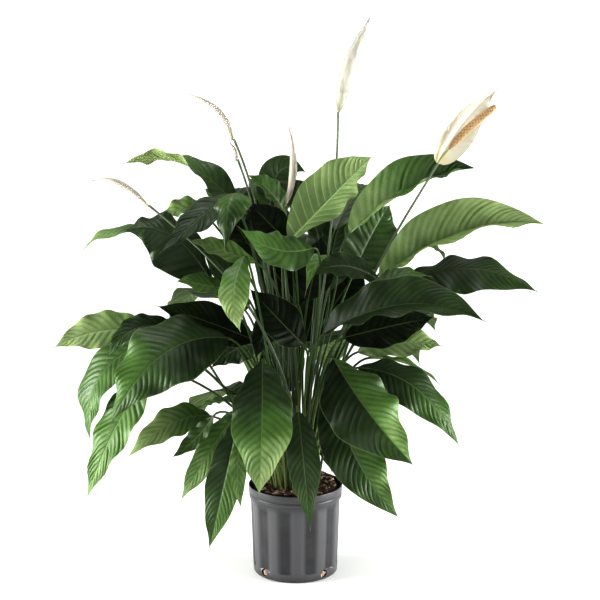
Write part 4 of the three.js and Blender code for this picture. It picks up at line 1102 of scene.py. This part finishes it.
class PEACELILY_OT_compost(bpy.types.Operator):
    """Models the compost: a root ball with a surface of loose bark chips"""
    bl_idname = "peacelily.compost"
    bl_label = "Bark Compost"

    AROUND = 96
    RADIUS = 73
    UNDERSIDE, TOP = 2.3, 155  # heights
    SIDES_END = 150  # height above which the root ball is its top surface
    UNEVEN = 0.8  # how far the root ball is out of true
    # the compost is heaped at the back right, and banked up against the pot's wall
    HEAP_PLACE, HEAP_HEIGHT, HEAP_SPREAD = (34, 44), 10, 22
    BANK, BANK_HEIGHT = (45, 70), 2.5
    CHIP_SHAPES = 8
    WIDEST_CHIP, THICKEST_CHIP = 7, 3.5
    LOOSE = 2.2  # how high chips lie on each other
    PALE_SHARE, PALE = 0.12, 1.1  # how many chips are freshly broken, and their tone
    ROOT_ENDS = 9  # in each drain hole
    ROOT_REACH = 69.5
    ROOT_SIZE = (6, 5, 4)

    def execute(self, context):
        looks = context.scene.lily_compost
        random = np.random.default_rng(4)
        ball = self.ball(random)
        chips = self.chips(random, looks)
        compost = joined("compost_bed", [ball, chips])
        finish_piece(compost, bark_compost(looks), "compost", "compost")
        return {"FINISHED"}

    def heap(self, x, y):
        """How much higher than its middle front the compost is at a place."""
        from_heap = (x - self.HEAP_PLACE[0]) ** 2 + (y - self.HEAP_PLACE[1]) ** 2
        heaped = self.HEAP_HEIGHT * np.exp(-from_heap / (2 * self.HEAP_SPREAD ** 2))
        return heaped + self.BANK_HEIGHT * smoothstep(*self.BANK, np.hypot(x, y))

    def ball(self, random):
        flat = [(reach, self.TOP) for reach in (52, 44, 36, 28, 20, 12, 5, 0.5)]
        outline = np.array([
            *((reach, self.UNDERSIDE) for reach in (0.5, 40, 66)), (69, 10), (69.5, 16), (70.5, 60),
            (71.5, 100), (72.3, 146), (73.5, 152), (69, 153.6), (60, 154.5), *flat])
        blank = bar_blank(self.AROUND, len(outline) - 1)
        angle = angles_round(self.AROUND)[None, :]
        radius, height = outline[:, :1], outline[:, 1:]
        rough = random.normal(0, self.UNEVEN, (len(outline), self.AROUND))
        rough *= smoothstep(1, 6, height - self.UNDERSIDE)
        radius = radius - abs(rough) * (height < self.SIDES_END)
        height = height + rough * (height > self.SIDES_END)
        heaped = self.heap(radius * np.cos(angle), radius * np.sin(angle))
        height = height + heaped * (height > self.SIDES_END)
        ball = shaped(blank, "root_ball", turned(radius, height, angle), tone=0.18)
        drop(blank)
        smooth(ball, 60)
        return ball

    def chip(self, random):
        """One chip: a cube, cut once each way and knocked out of shape."""
        deselect_all()
        bpy.ops.mesh.primitive_cube_add(size=1)
        chip = bpy.context.object
        bpy.ops.object.mode_set(mode="EDIT")
        bpy.ops.mesh.select_all(action="SELECT")
        bpy.ops.mesh.subdivide(number_cuts=1)
        bpy.ops.object.mode_set(mode="OBJECT")
        places = vertices_of(chip.data)
        corner = abs(places).sum(axis=1) > 1.4
        places[corner] *= random.uniform(0.6, 0.95, (corner.sum(), 1))
        places += random.normal(0, 0.06, places.shape)
        faces = [tuple(p.vertices) for p in chip.data.polygons]
        bpy.data.objects.remove(chip, do_unlink=True)
        return places, faces

    def chips(self, random, looks):
        shapes = [self.chip(random) for _ in range(self.CHIP_SHAPES)]
        places, faces, tones = [], [], []

        def lay(size, tilt, middle, tone):
            shape, sides = shapes[random.integers(len(shapes))]
            offset = len(places) * len(shape)
            places.append((shape * size) @ np.array(Euler(tilt).to_matrix()).T + middle)
            faces.extend(tuple(v + offset for v in side) for side in sides)
            tones.append(np.full(len(shape), tone))

        for _ in range(looks.chips):
            long = looks.chip * random.uniform(0.35, 1) ** 1.5
            size = np.array((long, long * random.uniform(0.35, 0.7), long * random.uniform(0.15, 0.35)))
            size = np.minimum(size, (1, self.WIDEST_CHIP * MM, self.THICKEST_CHIP * MM))
            tilt = (random.normal(0, 0.35), random.normal(0, 0.3), random.uniform(0, 6.28))
            angle = random.uniform(0, 2 * math.pi)
            reach = (self.RADIUS * MM - long * 0.45) * math.sqrt(random.uniform(0, 1))
            x, y = reach * math.cos(angle), reach * math.sin(angle)
            surface = self.TOP + self.heap(x / MM, y / MM)
            middle = (x, y, (surface + random.uniform(0, self.LOOSE)) * MM)
            pale = random.uniform() < self.PALE_SHARE
            lay(size, tilt, middle, self.PALE if pale else random.uniform(0.05, 0.8))
        # pale root ends that show in the drain holes
        for degrees in PEACELILY_OT_pot.DRAIN_ANGLES:
            for _ in range(self.ROOT_ENDS):
                angle = math.radians(degrees - 90) + random.normal(0, 0.03)
                height = PEACELILY_OT_pot.DRAIN_HEIGHT + random.normal(0, 2.4)
                middle = turned(self.ROOT_REACH, height, np.array(angle)) * MM
                size = np.array(self.ROOT_SIZE) * MM * random.uniform(0.7, 1.2)
                lay(size, random.uniform(0, 6.28, 3), middle, random.uniform(1.0, 1.5))
        mesh = bpy.data.meshes.new("chips")
        mesh.from_pydata(np.concatenate(places).tolist(), [], faces)
        layer = mesh.attributes.new("tone", "FLOAT", "POINT")
        layer.data.foreach_set("value", np.concatenate(tones).astype(np.float32))
        chips = bpy.data.objects.new("chips", mesh)
        bpy.context.collection.objects.link(chips)
        return chips


class PEACELILY_OT_leaves(bpy.types.Operator):
    """Models the leaves that grow singly: petiole and pleated blade in one piece"""
    bl_idname = "peacelily.leaves"
    bl_label = "Leaves"

    def execute(self, context):
        looks = context.scene.lily_leaves
        material = leaf_material(looks)
        blank = bar_blank(AROUND, *LEAF_PARTS)
        for name, leaf in LEAVES.items():
            node = f"{name}_leaf"
            midrib = midrib_of(leaf.base, leaf.middle, leaf.tip)
            stand = stand_of(node, lambda foot, upright: petiole_of(foot, upright, midrib))
            places, values = blade_places(name, leaf, looks, stand, pleat=PLEATS.get(name, 1))
            blade = shaped(blank, name, places, tone=tone_of(name, values), **values)
            smooth(blade, BLADE_CREASE)
            finish_piece(blade, material, "leaf", node)
        drop(blank)
        return {"FINISHED"}


def leaf_material(looks):
    """The leaves' material, which the single leaves and the shoots share."""
    return bpy.data.materials.get("fresh_leaf") or leaf_tissue(looks)


class PEACELILY_OT_shoots(bpy.types.Operator):
    """Models the shoots: leaves joined at a short stub of rhizome"""
    bl_idname = "peacelily.shoots"
    bl_label = "Shoots"

    STUB_SIDES = 24
    STUB = ((8.5, 148), (9, 151), (9, 155), (8.4, 158.5), (7, 161), (4, 162.8), (0.5, 163.3))
    STUB_RIDGES, RIDGE_HEIGHT = 5, 0.06

    def execute(self, context):
        looks = context.scene.lily_leaves
        material = leaf_material(looks)
        blank = bar_blank(AROUND, *LEAF_PARTS)
        stub_blank = bar_blank(self.STUB_SIDES, len(self.STUB) - 1)
        for node, (stub, leaves) in SHOOTS.items():
            middle = np.array(stub, dtype=float)
            pieces = [self.stub(stub_blank, middle)]
            for name, leaf in leaves.items():
                stand = shoot_stand(middle, leaf.base)
                places, values = blade_places(name, leaf, looks, stand)
                pieces.append(shaped(blank, name, places, tone=tone_of(name, values), **values))
            shoot = joined(node.replace("_shoot", "_leaves"), pieces)
            smooth(shoot, BLADE_CREASE)
            finish_piece(shoot, material, "leaf", node)
        drop(blank)
        drop(stub_blank)
        return {"FINISHED"}

    def stub(self, blank, middle):
        outline = np.array(self.STUB)
        angle = angles_round(self.STUB_SIDES)
        radius = outline[:, :1] * (1 + self.RIDGE_HEIGHT * np.sin(self.STUB_RIDGES * angle))
        places = turned(radius, outline[:, 1:], angle) + (*middle, 0)
        return shaped(blank, "stub", places, tone=0.5, across_mm=9.0, along=-1.0, vein=0.5,
                      upper=1.0, stem=1.0, edge=0.5)


def round_bar(blank, name, curve, radii, **values):
    """A round bar along a curve, from its radius at each row."""
    t = np.linspace(0, 1, blank.rows)
    along = unit(curve.along(t))
    up = carried_normals(along, (0, 1, 0.01), 0)
    side = np.cross(along, up)
    angle = angles_round(blank.around)
    ring = up[:, None] * np.sin(angle)[None, :, None] - side[:, None] * np.cos(angle)[None, :, None]
    radii = np.broadcast_to(radii, (blank.rows, blank.around))
    places = curve.at(t)[:, None] + ring * radii[..., None]
    return shaped(blank, name, places, **values)


class PEACELILY_OT_stalks(bpy.types.Operator):
    """Models the flower stalks"""
    bl_idname = "peacelily.stalks"
    bl_label = "Flower Stalks"

    SIDES, ROWS = 20, 80
    FOOT_SWELLING, FOOT_END = 0.12, 0.05  # shares of the radius and of the length
    THINNING = 0.2  # how much thinner a stalk is below its flower
    NODE_PLACE, NODE_SPREAD, NODE_HEIGHT = 0.985, 0.008, 0.35

    def execute(self, context):
        material = stalk_tissue(context.scene.lily_flowers)
        blank = bar_blank(self.SIDES, self.ROWS)
        along = np.linspace(0, 1, blank.rows)[:, None]
        # a slight swelling at the foot, and a node just under the flower
        radius = STALK_RADIUS * (1 + self.FOOT_SWELLING * (1 - smoothstep(0, self.FOOT_END, along)))
        radius = radius * (1 - self.THINNING * smoothstep(0.5, 0.97, along))
        radius += self.NODE_HEIGHT * np.exp(-((along - self.NODE_PLACE) / self.NODE_SPREAD) ** 2)
        for name, flower in FLOWERS.items():
            node = f"{name}_stalk"
            foot, upright = stand_of(node, lambda foot, upright: stalk_of(foot, upright, flower))
            stalk = round_bar(blank, node, stalk_of(foot, upright, flower), radius, along=along)
            smooth(stalk)
            finish_piece(stalk, material, "stalk", node)
        drop(blank)
        return {"FINISHED"}


def spathe_leaf(flower):
    """A flower's spathe as a blade that clasps the back of its stalk's end."""
    ahead = unit(np.array(flower.heading, dtype=float))
    face = np.array(flower.face, dtype=float)
    inner = unit(face - ahead * (face @ ahead))
    back = STALK_RADIUS + SPATHE_FOOT_RADIUS + CLASP_GAP
    base = np.array(flower.top) - inner * back - ahead * CLASP
    return Leaf(
        tuple(base), flower.middle, flower.tip, flower.width, flower.face, flower.fold, flower.curl)


class PEACELILY_OT_spathes(bpy.types.Operator):
    """Models the spathes: open, rolled and in bud"""
    bl_idname = "peacelily.spathes"
    bl_label = "Spathes"

    PLEAT, WAVE, TAIL = 0.12, 0.35, 0.6  # as shares of a leaf's
    FLOWER, BUD = 0.12, 1.0  # how young the spathes of a flower and of a bud look

    def execute(self, context):
        material = spathe_tissue(context.scene.lily_flowers)
        looks = context.scene.lily_leaves
        blank = bar_blank(AROUND, *LEAF_PARTS)
        for name, flower in FLOWERS.items():
            node = f"{name}_spathe"
            places, values = blade_places(
                name, spathe_leaf(flower), looks, None, SPATHE_FOOT_RADIUS, pleat=self.PLEAT,
                wave=self.WAVE, tail=self.TAIL, early=flower.early)
            youth = self.BUD if name.endswith("bud") else self.FLOWER
            spathe = shaped(blank, node, places, tone=youth, **values)
            smooth(spathe, BLADE_CREASE)
            finish_piece(spathe, material, "spathe", node)
        drop(blank)
        return {"FINISHED"}


def spadix_axis(flower):
    """The curve that a spadix follows, from its stalk's end."""
    spadix = flower.spadix
    start = np.array(flower.top) + unit(np.array(flower.heading, dtype=float)) * SPADIX_GAP
    if spadix.end:
        return midrib_of(start, spadix.middle, spadix.end)
    blade = spathe_leaf(flower)
    midrib = midrib_of(blade.base, blade.middle, blade.tip)

    def lifted(t):
        along = unit(midrib.along(t))
        face = np.array(blade.face, dtype=float)
        return midrib.at(t) + unit(face - along * (face @ along)) * spadix.lift

    return midrib_of(start, lifted(spadix.reach / 2), lifted(spadix.reach))


class PEACELILY_OT_spadices(bpy.types.Operator):
    """Models the spadices: a bare stipe and a club of packed small flowers"""
    bl_idname = "peacelily.spadices"
    bl_label = "Spadices"

    SIDES, PARTS = 108, (60, 5)
    # shares of the club's length, and of its radius there; less than 0 is the bare stipe
    CLUB = (-1, 0, 0.03, 0.12, 0.28, 0.45, 0.75, 0.92, 0.975, 1)
    CLUB_RADIUS = (0.3, 0.32, 0.48, 0.76, 0.94, 1, 0.93, 0.8, 0.55, 0.08)
    THINNEST = 0.3  # radius
    ROW_STEP = 0.87  # distance between rows of bumps, as a share of that round a row
    BUMP_HEIGHT, BUMP_MEAN = 0.22, 0.6

    def execute(self, context):
        looks = context.scene.lily_flowers
        material = spadix_tissue(looks)
        blank = bar_blank(self.SIDES, *self.PARTS)
        rows = np.linspace(0, 1, blank.rows)
        for name, flower in FLOWERS.items():
            spadix = flower.spadix
            if not spadix:
                continue
            curve = spadix_axis(flower)
            club = (rows - spadix.stipe) / (1 - spadix.stipe)
            profile = np.interp(club, self.CLUB, self.CLUB_RADIUS)
            pitch = min(looks.bump / MM, 1.2 * spadix.radius)
            bumps = max(6, round(2 * math.pi * spadix.radius / pitch))
            row = (rows * curve.length(blank.rows) / (pitch * self.ROW_STEP))[:, None]
            angle = (np.arange(blank.around) / blank.around)[None, :]
            # bumps in staggered rows, about twice as coarse as the real ones, so that they show
            a = np.sin(math.pi * row) * np.sin(math.pi * bumps * angle)
            b = np.cos(math.pi * row) * np.cos(math.pi * bumps * angle)
            raised = np.maximum(abs(a), abs(b)) ** 1.5 * smoothstep(0, 0.03, club)[:, None]
            bare = 1 - smoothstep(-0.02, 0.05, club)[:, None]
            relief = (raised - self.BUMP_MEAN) * self.BUMP_HEIGHT * pitch * (1 - bare)
            radii = np.maximum(spadix.radius * profile[:, None] + relief, self.THINNEST)
            node = f"{name}_spadix"
            piece = round_bar(
                blank, node, curve, radii, raised=raised, bare=bare,
                tone=0.0 if name == "open_flower" else 1.0)
            smooth(piece, 80)
            finish_piece(piece, material, "spadix", node)
        drop(blank)
        return {"FINISHED"}


class PEACELILY_PT_panel(bpy.types.Panel):
    """Sizes, colours and building steps of the peace lily"""
    bl_label = "Potted Peace Lily"
    bl_idname = "PEACELILY_PT_panel"
    bl_space_type = "VIEW_3D"
    bl_region_type = "UI"
    bl_category = "Peace Lily"

    def draw(self, context):
        scene = context.scene
        for name, (owner, operators) in GROUPS.items():
            box = self.layout.box()
            box.label(text=name)
            looks = getattr(scene, owner)
            for key in type(looks).__annotations__:
                box.prop(looks, key)
            for operator in operators:
                box.operator(operator.bl_idname)


GROUPS = {
    "Stage": ("lily_stage", (PEACELILY_OT_stage,)),
    "Pot": ("lily_pot", (PEACELILY_OT_pot,)),
    "Compost": ("lily_compost", (PEACELILY_OT_compost,)),
    "Leaves": ("lily_leaves", (PEACELILY_OT_leaves, PEACELILY_OT_shoots)),
    "Flowers": ("lily_flowers", (PEACELILY_OT_stalks, PEACELILY_OT_spathes, PEACELILY_OT_spadices)),
}
LOOKS = {
    "lily_stage": StageLooks,
    "lily_pot": PotLooks,
    "lily_compost": CompostLooks,
    "lily_leaves": LeafLooks,
    "lily_flowers": FlowerLooks,
}
OPERATORS = [operator for _, operators in GROUPS.values() for operator in operators]


def register():
    for cls in (*LOOKS.values(), *OPERATORS, PEACELILY_PT_panel):
        bpy.utils.register_class(cls)
    for name, cls in LOOKS.items():
        setattr(bpy.types.Scene, name, bpy.props.PointerProperty(type=cls))


def unregister():
    for name in LOOKS:
        delattr(bpy.types.Scene, name)
    for cls in reversed((*LOOKS.values(), *OPERATORS, PEACELILY_PT_panel)):
        bpy.utils.unregister_class(cls)


def main():
    register()
    for operator in OPERATORS:
        area, name = operator.bl_idname.split(".")
        getattr(getattr(bpy.ops, area), name)()


if __name__ == "__main__":
    main()
